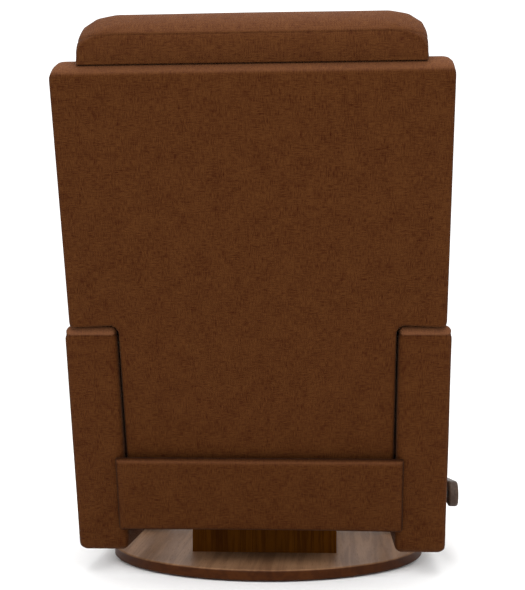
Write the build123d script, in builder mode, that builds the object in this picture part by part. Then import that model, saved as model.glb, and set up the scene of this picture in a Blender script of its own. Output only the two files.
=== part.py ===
"""Swivel glider recliner: walnut base, swivel, glide links, footrest linkage, upholstered chair.

Frame: origin on the floor at the swivel axis, +Z up, the sitter faces -Y, the sitter's right is -X.
Millimetres. Side profiles are drawn on YZ planes, so their points are (y, z) pairs.
"""
import os
from math import acos, cos, pi, radians, sin, tan

from build123d import *

os.makedirs("parts", exist_ok=True)

# Base
glide_radius = 15
glide_height = 3
glide_circle_radius = 300
glide_count = 6
disc_radius = 352
disc_thickness = 22
disc_ease = 5
pedestal_width = 314
pedestal_board_thickness = 22
pedestal_board_height = 55
pedestal_cap_thickness = 12
pedestal_cap_ease = 2
base_screw_radius = 3
base_screw_head_radius = 6
base_screw_length = 55

# Swivel bearing
swivel_plate_width = 220
swivel_plate_thickness = 4
swivel_plate_corner = 18
swivel_pin_radius = 12
swivel_pin_head_radius = 22
swivel_pin_head_height = 3
ball_radius = 4
ball_circle_radius = 80
ball_count = 10
cage_width = 20
cage_thickness = 3

# Glider
glider_plate_width = 300
glider_plate_depth = 290
channel_width = 24
channel_height = 32
channel_thickness = 4
upright_width = 28
upright_thickness = 6
glide_pivot_height = 215
glide_pivot_spacing = 260
glide_link_length = 100
glide_link_width = 24
glide_pin_radius = 5
glide_pin_head_radius = 8
glide_pin_head_height = 2
carriage_rail_height = 24
carriage_rail_overhang = 70
riser_width = 30

# Fits
running_clearance = 0.05
open_pivot_clearance = 0.3
bearing_clearance = 0.15
link_gap = 1
bar_thickness = 4

# Arms
chair_half_width = 375
arm_width = 100
arm_bottom = 55
arm_front = -345
arm_front_top = 556
arm_top_slope = 3
arm_rear_bottom_y = 293
arm_rear_lean = 17.2
arm_front_corner = 34
arm_rear_top_corner = 24
arm_low_corner = 14
arm_edge_round = 12
arm_frame_thickness = 22
arm_padding = 34
valance_overlap = 14.5
valance_bottom = 100.5
valance_top = 252.5
valance_thickness = 12
valance_edge_round = 3

# Seat frame and mechanism plates
seat_rail_top = 345
seat_rail_height = 32
seat_rail_depth = 35
seat_rail_front_y = -300
seat_rail_rear_y = 235
front_rail_drop = 40
front_rail_inset = 26
cross_tube_radius = 12.5
cross_tube_wall = 2
front_tube_y = -200
front_tube_drop = 15
rear_tube_y = 170
rear_tube_drop = 95
plate_front_y = -305
plate_margin = 14
bolt_radius = 4
bolt_head_radius = 7
bolt_head_height = 3
bolt_length = 58
bolt_drop = 17
bolt_ys = (-240, 0, 150)
spring_wire = 3.5
spring_bend_radius = 11
spring_amplitude = 22
seat_spring_count = 4
seat_spring_bends = 9
clip_width = 12
clip_length = 10
clip_cover = 2
deck_side_gap = 25
deck_thickness = 4

# Seat cushion
cushion_front_y = -350
cushion_rear_y = 224
cushion_side_gap = 9
cushion_height = 106
cushion_crown = 20
cushion_side_bulge = 5
cushion_drawn_in = 16
cushion_end_round = 34

# Footrest linkage, angles measured from the front upward
front_pivot_setback = 130
front_pivot_height = 300
pivot_spacing = 80
swing_length = 200
stowed_angle = -120
carrier_reach = 255
carrier_rise = 173
tilt_arm = 55
tilt_angle = 230
link_width = 22
link_pin_radius = 4
drive_tube_radius = 11
drive_tube_wall = 2
footrest_board_thickness = 18
footrest_board_front = -340
footrest_board_bottom = 128
footrest_board_top = 328
bracket_low = 175
pad_thickness = 24
pad_crown = 10
pad_margin = 8
pad_side_margin = 4
pad_side_bulge = 4

# Release lever
lever_pivot_setback = 110
lever_pivot_height = 150
lever_crank_length = 25
lever_crank_angle = 80
lever_shaft_radius = 6
lever_bush_wall = 4
escutcheon_radius = 20
escutcheon_thickness = 4
handle_stand_off = 25.5
handle_thickness = 22
handle_hub_radius = 28
handle_tip_radius = 17
handle_reach = 150
handle_edge_round = 6
pull_link_width = 16
lever_screw_radius = 4
lever_screw_head_radius = 8
lever_screw_head_height = 3
lever_screw_length = 18

# Back, drawn on a leaning plane whose origin lies level with the arm tops
back_lean = 20.3
back_reference_y = 427.7
back_reference_z = 494
back_bottom = -290
back_top = 522
back_top_drop = 16.5
back_crest_depth = 50
back_wing_bottom = 24.5
back_side_gap = 5.5
back_wing_setback = 9
back_notch_round = 16
back_wing_corner = 4
back_top_corner = 20
back_panel_thickness = 22
back_panel_edge_round = 5
back_depth = 60
border_thickness = 8
back_bracket_thickness = 4
bracket_width = 34
bracket_length = 150
stile_width = 57
stile_depth = 36
back_rail_width = 50
wing_board_thickness = 18
back_spring_count = 4
back_spring_bends = 9
recline_pivot_height = 275
recline_pivot_depth = 40
recline_pin_radius = 6
recline_pin_room = 3

# Back cushion and head pillow
back_cushion_bottom = -128
back_cushion_wing_bottom = 62
back_cushion_gap = 2
back_cushion_side_gap = 7.5
back_cushion_wing_setback = 24
back_cushion_thickness = 96
back_cushion_crown = 22
back_cushion_drawn_in = 14
back_cushion_end_round = 34
pillow_setback = 44
pillow_rear = 24
pillow_boxing = 54
pillow_crown_rise = 27
pillow_crown_depth = 88
pillow_front = 196
pillow_hang = 198
pillow_corner_drop = 44
pillow_corner_width = 70
pillow_end_draw = 40

# Heights of the base and glider stack
disc_top = glide_height + disc_thickness
cap_bottom = disc_top + pedestal_board_height
cap_top = cap_bottom + pedestal_cap_thickness
lower_plate_top = cap_top + swivel_plate_thickness
upper_plate_bottom = lower_plate_top + 2 * (ball_radius + bearing_clearance)
upper_plate_top = upper_plate_bottom + swivel_plate_thickness
glide_low_height = glide_pivot_height - glide_link_length
glide_half_spacing = glide_pivot_spacing / 2

# Sideways layers, each the inner face of a piece on the left side
arm_inner = chair_half_width - arm_width
valance_half_width = arm_inner + valance_overlap
deck_half_width = arm_inner - deck_side_gap
cushion_half_width = arm_inner - cushion_side_gap
handle_outer = chair_half_width + handle_stand_off + handle_thickness
back_lower_half_width = arm_inner - back_side_gap
back_wing_half_width = chair_half_width - back_wing_setback
back_cushion_half_width = back_lower_half_width - back_cushion_side_gap
back_cushion_wing_half_width = back_wing_half_width - back_cushion_wing_setback
pillow_half_width = back_wing_half_width - pillow_setback
dome_radius = (back_crest_depth**2 + back_top_drop**2) / (2 * back_top_drop)
pillow_seam = back_top + pillow_boxing
pillow_top = pillow_seam + pillow_crown_rise
pillow_bottom = back_top - pillow_hang
back_cushion_top = pillow_bottom - back_cushion_gap
arm_middle = chair_half_width - arm_width / 2
plate_layer = arm_inner - bar_thickness
tilt_layer = plate_layer - link_gap - bar_thickness
swing_layer = tilt_layer - link_gap - bar_thickness
carrier_layer = swing_layer - link_gap - bar_thickness
pad_half_width = swing_layer + pad_side_margin
upright_layer = glider_plate_width / 2
glide_layer = upright_layer + upright_thickness + link_gap
carriage_layer = glide_layer + bar_thickness + link_gap
riser_layer = carriage_layer + bar_thickness


def side_plane(x):
    """YZ plane at a sideways position."""
    return Plane.YZ.offset(x)


def cross_plane(y):
    """XZ plane at a fore-and-aft position, its local axes along +X and +Z."""
    return Plane((0, y, 0), x_dir=(1, 0, 0), z_dir=(0, -1, 0))


def swing(length, angle):
    """Side-view vector of a link, with the angle measured from the front upward."""
    return Vector(-length * cos(radians(angle)), length * sin(radians(angle)))


def bar(points, width):
    """Flat bar through its pivots in a side view, with round ends."""
    for start, end in zip(points, points[1:]):
        SlotCenterPoint((start + end) / 2, end, width)


def holes(points, radius):
    """Round holes in the sketch at hand."""
    with Locations(*points):
        Circle(radius, mode=Mode.SUBTRACT)


def pins(points, start, end, radius, mode=Mode.ADD):
    """Round pins across the chair, or bores for them, between two sideways positions."""
    with BuildSketch(side_plane(start)) as section:
        with Locations(*points):
            Circle(radius)
    extrude(section.sketch, amount=end - start, mode=mode)


def sinuous_spring(start, span, bends, amplitude, bend_radius, wire):
    """Flat zigzag spring along the sketch's Y axis, with rounded bends."""
    x, y = start
    pitch = span / bends
    path = [(x, y)]
    for index in range(bends):
        reach = amplitude if index % 2 == 0 else -amplitude
        path.append((x + reach, y + pitch * (index + 0.5)))
    path.append((x, y + span))
    with BuildLine() as centre:
        FilletPolyline(*path, radius=bend_radius)
    trace(centre.line, line_width=wire)


# Base glides, one under the centre and a ring near the rim
with BuildPart() as base_glides:
    with BuildSketch():
        Circle(glide_radius)
        with PolarLocations(glide_circle_radius, glide_count):
            Circle(glide_radius)
    extrude(amount=glide_height)

# Round base disc with an eased top edge and screw holes from below
pedestal_screw_offset = (pedestal_width - pedestal_board_thickness) / 2
pedestal_screw_points = [
    (pedestal_screw_offset, 0),
    (-pedestal_screw_offset, 0),
    (0, pedestal_screw_offset),
    (0, -pedestal_screw_offset),
]
with BuildPart() as base_disc:
    with BuildSketch(Plane.XY.offset(glide_height)):
        Circle(disc_radius)
    extrude(amount=disc_thickness)
    rim = base_disc.edges().filter_by(GeomType.CIRCLE)
    fillet(rim.sort_by(Axis.Z)[-1], disc_ease)
    chamfer(rim.sort_by(Axis.Z)[0], disc_ease / 2)
    with Locations(Plane((0, 0, glide_height), z_dir=(0, 0, -1))):
        with Locations(*[(x, -y) for x, y in pedestal_screw_points]):
            CounterSinkHole(base_screw_radius, base_screw_head_radius)

# Pedestal: two full-width boards and two fitted between them
with BuildPart() as pedestal_boards:
    inner_width = pedestal_width - 2 * pedestal_board_thickness
    with BuildSketch(Plane.XY.offset(disc_top)) as board_plan:
        with Locations((0, pedestal_screw_offset), (0, -pedestal_screw_offset)):
            Rectangle(pedestal_width, pedestal_board_thickness)
    extrude(amount=pedestal_board_height)
    with BuildSketch(Plane.XY.offset(disc_top)) as rail_plan:
        with Locations((pedestal_screw_offset, 0), (-pedestal_screw_offset, 0)):
            Rectangle(pedestal_board_thickness, inner_width - 2 * running_clearance)
    extrude(amount=pedestal_board_height)
    with BuildSketch(Plane.XY.offset(disc_top)) as screw_plan:
        with Locations(*pedestal_screw_points):
            Circle(base_screw_radius)
    extrude(amount=base_screw_length - disc_thickness, mode=Mode.SUBTRACT)

with BuildPart() as base_screws:
    with BuildSketch(Plane.XY.offset(glide_height)):
        with Locations(*pedestal_screw_points):
            Circle(base_screw_radius)
    extrude(amount=base_screw_length)
    with Locations(*[(x, y, glide_height) for x, y in pedestal_screw_points]):
        Cone(
            base_screw_head_radius,
            base_screw_radius,
            base_screw_head_radius - base_screw_radius,
            align=(Align.CENTER, Align.CENTER, Align.MIN),
        )

with BuildPart() as pedestal_cap:
    with BuildSketch(Plane.XY.offset(cap_bottom)):
        Rectangle(pedestal_width, pedestal_width)
    extrude(amount=pedestal_cap_thickness)
    fillet(pedestal_cap.edges().group_by(Axis.Z)[-1], pedestal_cap_ease)

# Swivel bearing: lower plate with its pivot, ball cage, balls and upper plate
with BuildPart() as swivel_lower_plate:
    with BuildSketch(Plane.XY.offset(cap_top)):
        RectangleRounded(swivel_plate_width, swivel_plate_width, swivel_plate_corner)
        Circle(swivel_pin_radius, mode=Mode.SUBTRACT)
    extrude(amount=swivel_plate_thickness)

with BuildPart() as swivel_pivot:
    with BuildSketch(Plane.XY.offset(cap_top)):
        Circle(swivel_pin_radius)
    extrude(amount=upper_plate_top + bearing_clearance - cap_top)
    with BuildSketch(Plane.XY.offset(upper_plate_top + bearing_clearance)):
        Circle(swivel_pin_head_radius)
    extrude(amount=swivel_pin_head_height)

with BuildPart() as swivel_cage:
    with BuildSketch(Plane.XY.offset(lower_plate_top)):
        Circle(ball_circle_radius + cage_width / 2)
        Circle(ball_circle_radius - cage_width / 2, mode=Mode.SUBTRACT)
        with PolarLocations(ball_circle_radius, ball_count):
            Circle(ball_radius + bearing_clearance, mode=Mode.SUBTRACT)
    extrude(amount=cage_thickness)

with BuildPart() as swivel_balls:
    with Locations(Plane.XY.offset(lower_plate_top + ball_radius + bearing_clearance)):
        with PolarLocations(ball_circle_radius, ball_count):
            Sphere(ball_radius)

with BuildPart() as swivel_upper_plate:
    with BuildSketch(Plane.XY.offset(upper_plate_bottom)):
        RectangleRounded(glider_plate_width, glider_plate_depth, swivel_plate_corner)
        Circle(swivel_pin_radius + running_clearance, mode=Mode.SUBTRACT)
    extrude(amount=swivel_plate_thickness)

# Glider stand: an angle along each side, with two uprights that carry the upper pivots
front_glide_top = Vector(-glide_half_spacing, glide_pivot_height)
rear_glide_top = Vector(glide_half_spacing, glide_pivot_height)
front_glide_low = Vector(-glide_half_spacing, glide_low_height)
rear_glide_low = Vector(glide_half_spacing, glide_low_height)
with BuildPart() as glider_channels:
    with BuildSketch(cross_plane(glide_half_spacing + upright_width / 2)):
        with Locations((upright_layer, upper_plate_top)):
            Rectangle(channel_width, channel_thickness, align=(Align.MAX, Align.MIN))
            Rectangle(channel_thickness, channel_height, align=(Align.MAX, Align.MIN))
    extrude(amount=glide_pivot_spacing + upright_width)
    mirror(about=Plane.YZ)

with BuildPart() as glider_uprights:
    with BuildSketch(side_plane(upright_layer)):
        for top in (front_glide_top, rear_glide_top):
            bar([Vector(top.X, upper_plate_top + upright_width / 2), top], upright_width)
        holes([front_glide_top, rear_glide_top], glide_pin_radius)
    extrude(amount=upright_thickness)
    mirror(about=Plane.YZ)

with BuildPart() as glider_upper_pins:
    link_outer = glide_layer + bar_thickness + bearing_clearance
    pins([front_glide_top, rear_glide_top], upright_layer, link_outer, glide_pin_radius)
    pins(
        [front_glide_top, rear_glide_top],
        link_outer,
        link_outer + glide_pin_head_height,
        glide_pin_head_radius,
    )
    mirror(about=Plane.YZ)

# Glide links, hung from the uprights and carrying the chair
with BuildPart() as front_glide_links:
    with BuildSketch(side_plane(glide_layer)):
        bar([front_glide_top, front_glide_low], glide_link_width)
        holes([front_glide_top, front_glide_low], glide_pin_radius + running_clearance)
    extrude(amount=bar_thickness)
    mirror(about=Plane.YZ)

with BuildPart() as rear_glide_links:
    with BuildSketch(side_plane(glide_layer)):
        bar([rear_glide_top, rear_glide_low], glide_link_width)
        holes([rear_glide_top], glide_pin_radius + running_clearance)
        holes([rear_glide_low], glide_pin_radius + open_pivot_clearance)
    extrude(amount=bar_thickness)
    mirror(about=Plane.YZ)

# Carriage: rails on the lower pivots, risers and cross tubes up to the mechanism plates
front_tube = Vector(front_tube_y, seat_rail_top - front_tube_drop)
rear_tube = Vector(rear_tube_y, seat_rail_top - rear_tube_drop)
rail_end = Vector(glide_half_spacing + carriage_rail_overhang, glide_low_height)
carriage_bottom = glide_low_height - carriage_rail_height / 2
with BuildPart() as carriage_rails:
    with BuildSketch(side_plane(carriage_layer)):
        bar([Vector(-rail_end.X, rail_end.Y), rail_end], carriage_rail_height)
        holes([front_glide_low, rear_glide_low], glide_pin_radius)
    extrude(amount=bar_thickness)
    mirror(about=Plane.YZ)

with BuildPart() as glider_lower_pins:
    pins([front_glide_low, rear_glide_low], glide_layer, riser_layer, glide_pin_radius)
    pins(
        [front_glide_low, rear_glide_low],
        riser_layer,
        riser_layer + glide_pin_head_height,
        glide_pin_head_radius,
    )
    mirror(about=Plane.YZ)

with BuildPart() as carriage_risers:
    with BuildSketch(side_plane(riser_layer)):
        for tube in (front_tube, rear_tube):
            with Locations((tube.X, carriage_bottom)):
                Rectangle(riser_width, tube.Y - carriage_bottom, align=(Align.CENTER, Align.MIN))
        holes([front_tube, rear_tube], cross_tube_radius)
    extrude(amount=bar_thickness)
    mirror(about=Plane.YZ)

with BuildPart() as cross_tubes:
    with BuildSketch(side_plane(-plate_layer)):
        with Locations(front_tube, rear_tube):
            Circle(cross_tube_radius)
            Circle(cross_tube_radius - cross_tube_wall, mode=Mode.SUBTRACT)
    extrude(amount=2 * plate_layer)

# Mechanism plates on the arms' inner faces
front_pivot = Vector(-front_pivot_setback, front_pivot_height)
rear_pivot = front_pivot + Vector(pivot_spacing, 0)
lever_pivot = Vector(lever_pivot_setback, lever_pivot_height)
recline_pivot = Vector(
    back_reference_y
    + (recline_pivot_height - back_reference_z) * tan(radians(back_lean))
    - recline_pivot_depth / cos(radians(back_lean)),
    recline_pivot_height,
)
bolt_points = [Vector(y, seat_rail_top - bolt_drop) for y in bolt_ys]
with BuildPart() as side_plate_left:
    with BuildSketch(side_plane(plate_layer)) as plate_profile:
        with BuildLine():
            Polyline(
                (plate_front_y, seat_rail_top),
                (seat_rail_rear_y + plate_margin, seat_rail_top),
                (recline_pivot.X + 2 * plate_margin, recline_pivot.Y + plate_margin),
                (recline_pivot.X + 2 * plate_margin, recline_pivot.Y - 1.5 * plate_margin),
                (rear_tube.X - 2 * plate_margin, rear_tube.Y - 2 * plate_margin),
                (front_pivot.X - 2 * plate_margin, front_pivot.Y - plate_margin),
                (plate_front_y, seat_rail_top - seat_rail_height),
                close=True,
            )
        make_face()
        fillet(plate_profile.vertices(), plate_margin / 2)
        holes([front_pivot, rear_pivot], link_pin_radius)
        holes([recline_pivot], recline_pin_radius)
        holes(bolt_points, bolt_radius)
    extrude(amount=bar_thickness)

with BuildPart() as side_plate_right:
    mirror(side_plate_left.part, about=Plane.YZ)

# Pins fixed in the plates for the swing links and the back
bracket_layer = back_lower_half_width - border_thickness - back_bracket_thickness
with BuildPart() as mechanism_pins:
    pins([front_pivot, rear_pivot], swing_layer, arm_inner, link_pin_radius)
    pins([recline_pivot], bracket_layer, arm_inner, recline_pin_radius)
    mirror(about=Plane.YZ)

with BuildPart() as mechanism_bolts:
    pins(bolt_points, plate_layer, plate_layer + bolt_length, bolt_radius)
    pins(bolt_points, plate_layer - bolt_head_height, plate_layer, bolt_head_radius)
    mirror(about=Plane.YZ)

# Wooden seat rails between the plates, the front one deeper between the links
with BuildPart() as seat_rail_front:
    with BuildSketch(cross_plane(seat_rail_front_y + seat_rail_depth)):
        with Locations((0, seat_rail_top)):
            Rectangle(2 * plate_layer, seat_rail_height, align=(Align.CENTER, Align.MAX))
            Rectangle(
                2 * (plate_layer - front_rail_inset),
                seat_rail_height + front_rail_drop,
                align=(Align.CENTER, Align.MAX),
            )
    extrude(amount=seat_rail_depth)

with BuildPart() as seat_rail_rear:
    with BuildSketch(cross_plane(seat_rail_rear_y)):
        with Locations((0, seat_rail_top)):
            Rectangle(2 * plate_layer, seat_rail_height, align=(Align.CENTER, Align.MAX))
    extrude(amount=seat_rail_depth)

# Sinuous seat springs across the rails, held by clips
spring_front_y = seat_rail_front_y + seat_rail_depth / 2
spring_rear_y = seat_rail_rear_y - seat_rail_depth / 2
spring_spacing = 2 * deck_half_width / seat_spring_count
spring_xs = [spring_spacing * (index + 0.5) - deck_half_width for index in range(seat_spring_count)]
with BuildPart() as seat_springs:
    for x in spring_xs:
        with BuildSketch(Plane.XY.offset(seat_rail_top)):
            sinuous_spring(
                (x, spring_front_y),
                spring_rear_y - spring_front_y,
                seat_spring_bends,
                spring_amplitude,
                spring_bend_radius,
                spring_wire,
            )
        extrude(amount=spring_wire)

clip_top = seat_rail_top + spring_wire + clip_cover
with BuildPart() as spring_clips:
    for end_y, inward in ((spring_front_y, 1), (spring_rear_y, -1)):
        leg_y = end_y - inward * clip_length / 2
        for x in spring_xs:
            with BuildSketch(side_plane(x - clip_width / 2)):
                with Locations(((leg_y + end_y + inward * clip_length / 2) / 2, clip_top - clip_cover / 2)):
                    Rectangle(clip_length, clip_cover)
                with Locations((leg_y + inward * clip_cover / 2, (seat_rail_top + clip_top) / 2)):
                    Rectangle(clip_cover, clip_top - seat_rail_top)
            extrude(amount=clip_width)

deck_top = clip_top + deck_thickness
with BuildPart() as seat_deck:
    with BuildSketch(Plane.XY.offset(clip_top)):
        with Locations((0, (cushion_front_y + cushion_rear_y) / 2)):
            Rectangle(
                2 * deck_half_width,
                cushion_rear_y - cushion_front_y - 2 * cushion_drawn_in,
            )
    extrude(amount=deck_thickness)


def soft_stations(low, high, round_length, steps=3):
    """Places along a cushion, each with the share by which it is drawn in towards a round end."""
    turns = [radians(90 * step / steps) for step in range(steps + 1)]
    start = [(low + round_length * (1 - cos(turn)), 1 - sin(turn)) for turn in turns]
    end = [(low + high - place, share) for place, share in reversed(start)]
    return start + end


def cushion_section(plane, half_width, low, high, bulge, crown):
    """Cushion cross-section: flat below, sides bowed out and a crowned top."""
    middle = (low + high) / 2
    with BuildSketch(plane) as section:
        with BuildLine():
            Line((-half_width, low), (half_width, low))
            ThreePointArc((half_width, low), (half_width + bulge, middle), (half_width, high))
            ThreePointArc((half_width, high), (0, high + crown), (-half_width, high))
            ThreePointArc((-half_width, high), (-half_width - bulge, middle), (-half_width, low))
        make_face()
    return section.sketch


# Seat cushion, crowned, with its ends rounded and drawn in
with BuildPart() as seat_cushion:
    sections = []
    for y, share in soft_stations(cushion_front_y, cushion_rear_y, cushion_end_round):
        section = cushion_section(
            cross_plane(y),
            cushion_half_width - cushion_drawn_in * share,
            deck_top,
            deck_top + cushion_height - cushion_end_round * share,
            cushion_side_bulge,
            cushion_crown * (1 - share / 2),
        )
        sections.append(section)
    loft(sections, ruled=True)


def arm_corners(inset):
    """Side-view corners of an arm, brought in from the front, top and rear by an inset."""
    slope = tan(radians(arm_top_slope))
    lean = tan(radians(arm_rear_lean))
    front = arm_front + inset
    front_top = arm_front_top - inset / cos(radians(arm_top_slope)) - inset * slope
    rear_bottom = arm_rear_bottom_y - inset / cos(radians(arm_rear_lean))
    rear_top = (front_top - (rear_bottom - arm_bottom * lean - front) * slope) / (1 + lean * slope)
    return [
        (front, arm_bottom),
        (front, front_top),
        (rear_bottom + (rear_top - arm_bottom) * lean, rear_top),
        (rear_bottom, arm_bottom),
    ]


# Wooden arm frames, closed in by the padded covers
bush_radius = lever_shaft_radius + lever_bush_wall
with BuildPart() as arm_frame_left:
    with BuildSketch(side_plane(arm_middle - arm_frame_thickness / 2)):
        with BuildLine():
            Polyline(*arm_corners(arm_padding), close=True)
        make_face()
    extrude(amount=arm_frame_thickness)
    pins(bolt_points, plate_layer, plate_layer + bolt_length, bolt_radius, Mode.SUBTRACT)

with BuildPart() as arm_frame_right:
    mirror(arm_frame_left.part, about=Plane.YZ)
    pins([lever_pivot], -chair_half_width, -arm_inner, bush_radius, Mode.SUBTRACT)

# Padded arm covers with every long edge rounded
with BuildPart() as arm_cover_left:
    with BuildSketch(side_plane(arm_inner)) as arm_profile:
        with BuildLine():
            Polyline(*arm_corners(0), close=True)
        make_face()
        fillet(arm_profile.vertices().group_by(Axis.Y)[0], arm_low_corner)
        fillet(arm_profile.vertices().sort_by(Axis.Y)[-1], arm_front_corner)
        fillet(arm_profile.vertices().sort_by(Axis.X)[-1], arm_rear_top_corner)
    extrude(amount=arm_width)
    fillet(arm_cover_left.faces().filter_by(Axis.X).edges(), arm_edge_round)
    with BuildSketch(side_plane(arm_middle - arm_frame_thickness / 2)):
        with BuildLine():
            Polyline(*arm_corners(arm_padding), close=True)
        make_face()
    extrude(amount=arm_frame_thickness, mode=Mode.SUBTRACT)
    pins(bolt_points, plate_layer, plate_layer + bolt_length, bolt_radius, Mode.SUBTRACT)

with BuildPart() as arm_cover_right:
    mirror(arm_cover_left.part, about=Plane.YZ)
    pins([lever_pivot], -chair_half_width, -arm_inner, bush_radius, Mode.SUBTRACT)

# Flat rear valance laid over the rear faces of both arms
arm_lean = radians(arm_rear_lean)
arm_rear_plane = Plane(
    (0, arm_rear_bottom_y, arm_bottom), x_dir=(-1, 0, 0), z_dir=(0, cos(arm_lean), -sin(arm_lean))
)
with BuildPart() as rear_valance:
    with BuildSketch(arm_rear_plane):
        with Locations((0, (valance_bottom - arm_bottom) / cos(arm_lean))):
            Rectangle(
                2 * valance_half_width,
                (valance_top - valance_bottom) / cos(arm_lean),
                align=(Align.CENTER, Align.MIN),
            )
    extrude(amount=valance_thickness)
    outer_face = rear_valance.faces().sort_by(Axis((0, 0, 0), arm_rear_plane.z_dir))[-1]
    fillet(outer_face.edges(), valance_edge_round)

# Bush through the right arm, with its escutcheon outside
with BuildPart() as lever_bush:
    pins([lever_pivot], -chair_half_width, -arm_inner, bush_radius)
    pins(
        [lever_pivot],
        -chair_half_width - escutcheon_thickness,
        -chair_half_width,
        escutcheon_radius,
    )
    pins(
        [lever_pivot],
        -chair_half_width - escutcheon_thickness,
        -arm_inner,
        lever_shaft_radius + running_clearance,
        Mode.SUBTRACT,
    )

# Pivots of the footrest linkage when it is stowed
knee = front_pivot + swing(swing_length, stowed_angle)
rear_knee = rear_pivot + swing(swing_length, stowed_angle)
footrest_pivot = knee + Vector(-carrier_reach, carrier_rise)
tilt_low = knee + swing(tilt_arm, tilt_angle)
tilt_high = footrest_pivot + swing(tilt_arm, tilt_angle)
pull_low = lever_pivot + swing(lever_crank_length, lever_crank_angle)
pull_high = front_pivot + swing(lever_crank_length, lever_crank_angle)
running_hole = link_pin_radius + running_clearance
open_hole = link_pin_radius + open_pivot_clearance
swing_outer = swing_layer + bar_thickness
tilt_outer = tilt_layer + bar_thickness

# Front swing links, bent below the knee, the right one with a lobe for the pull link
with BuildPart() as front_swing_links:
    with BuildSketch(side_plane(swing_layer)):
        bar([front_pivot, knee, tilt_low], link_width)
        holes([front_pivot], running_hole)
        holes([knee, tilt_low], link_pin_radius)
    extrude(amount=bar_thickness)
    mirror(about=Plane.YZ)
    with BuildSketch(side_plane(-swing_outer)):
        bar([front_pivot, pull_high], link_width)
        holes([front_pivot], running_hole)
        holes([pull_high], link_pin_radius)
    extrude(amount=bar_thickness)

with BuildPart() as swing_link_pins:
    pins([knee], carrier_layer, swing_outer, link_pin_radius)
    pins([tilt_low], swing_layer, tilt_outer, link_pin_radius)
    mirror(about=Plane.YZ)
    pins([pull_high], -tilt_outer, -swing_layer, link_pin_radius)

with BuildPart() as drive_tube:
    with BuildSketch(side_plane(-swing_layer)):
        with Locations(front_pivot):
            Circle(drive_tube_radius)
            Circle(drive_tube_radius - drive_tube_wall, mode=Mode.SUBTRACT)
    extrude(amount=2 * swing_layer)

with BuildPart() as rear_swing_links:
    with BuildSketch(side_plane(swing_layer)):
        bar([rear_pivot, rear_knee], link_width)
        holes([rear_pivot], running_hole)
        holes([rear_knee], open_hole)
    extrude(amount=bar_thickness)
    mirror(about=Plane.YZ)

# Carrier bars reach from the knees to the footrest
with BuildPart() as carrier_bars:
    with BuildSketch(side_plane(carrier_layer)):
        bar([rear_knee, knee, footrest_pivot], link_width)
        holes([knee], running_hole)
        holes([rear_knee, footrest_pivot], link_pin_radius)
    extrude(amount=bar_thickness)
    mirror(about=Plane.YZ)

with BuildPart() as carrier_pins:
    pins([rear_knee, footrest_pivot], carrier_layer, swing_outer, link_pin_radius)
    mirror(about=Plane.YZ)

with BuildPart() as tilt_links:
    with BuildSketch(side_plane(tilt_layer)):
        bar([tilt_low, tilt_high], link_width)
        holes([tilt_low], running_hole)
        holes([tilt_high], open_hole)
    extrude(amount=bar_thickness)
    mirror(about=Plane.YZ)

# Footrest: brackets on the ends of the board, and the pad on its front
board_middle_y = footrest_board_front + footrest_board_thickness / 2
bracket_top = Vector(board_middle_y, footrest_pivot.Y)
bracket_end = Vector(board_middle_y, bracket_low)
with BuildPart() as footrest_brackets:
    with BuildSketch(side_plane(swing_layer)):
        bar([tilt_high, footrest_pivot, bracket_top, bracket_end], footrest_board_thickness)
        holes([footrest_pivot], running_hole)
        holes([tilt_high], link_pin_radius)
    extrude(amount=bar_thickness)
    mirror(about=Plane.YZ)

with BuildPart() as footrest_pins:
    pins([tilt_high], swing_layer, tilt_outer, link_pin_radius)
    mirror(about=Plane.YZ)

with BuildPart() as footrest_board:
    with BuildSketch(cross_plane(footrest_board_front + footrest_board_thickness)):
        with Locations((0, footrest_board_bottom)):
            Rectangle(
                2 * swing_layer,
                footrest_board_top - footrest_board_bottom,
                align=(Align.CENTER, Align.MIN),
            )
    extrude(amount=footrest_board_thickness)

with BuildPart() as footrest_pad:
    pad_bottom = footrest_board_bottom - pad_margin
    pad_top = footrest_board_top + pad_margin
    sections = []
    for z, share in soft_stations(pad_bottom, pad_top, 2 * pad_margin):
        section = cushion_section(
            Plane((0, footrest_board_front, z), x_dir=(1, 0, 0), z_dir=(0, 0, -1)),
            pad_half_width - pad_margin * share,
            0,
            pad_thickness - 2 * pad_margin * share,
            pad_side_bulge,
            pad_crown * (1 - share / 2),
        )
        sections.append(section)
    loft(sections, ruled=True)

# Release lever: wooden paddle on a shaft through the right arm, with a crank inside
handle_tip = lever_pivot + swing(handle_reach, 0)
flank_angle = acos((handle_hub_radius - handle_tip_radius) / handle_reach) * 180 / pi
handle_inner = handle_outer - handle_thickness
shaft_end = handle_outer - handle_thickness / 2
with BuildPart() as lever_handle:
    with BuildSketch(side_plane(-handle_outer)):
        with Locations(lever_pivot):
            Circle(handle_hub_radius)
        with Locations(handle_tip):
            Circle(handle_tip_radius)
        with BuildLine():
            Polyline(
                lever_pivot + swing(handle_hub_radius, flank_angle),
                handle_tip + swing(handle_tip_radius, flank_angle),
                handle_tip + swing(handle_tip_radius, -flank_angle),
                lever_pivot + swing(handle_hub_radius, -flank_angle),
                close=True,
            )
        make_face()
    extrude(amount=handle_thickness)
    fillet(lever_handle.faces().filter_by(Axis.X).edges(), handle_edge_round)
    pins([lever_pivot], -shaft_end, -handle_inner, lever_shaft_radius, Mode.SUBTRACT)
    pins([lever_pivot], -handle_outer, -shaft_end, lever_screw_radius, Mode.SUBTRACT)
    pins(
        [lever_pivot],
        -handle_outer,
        -handle_outer + lever_screw_head_height,
        lever_screw_head_radius,
        Mode.SUBTRACT,
    )

with BuildPart() as lever_screw:
    pins([lever_pivot], -handle_outer, -handle_outer + lever_screw_head_height, lever_screw_head_radius)
    pins([lever_pivot], -handle_outer, -handle_outer + lever_screw_length, lever_screw_radius)

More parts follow.
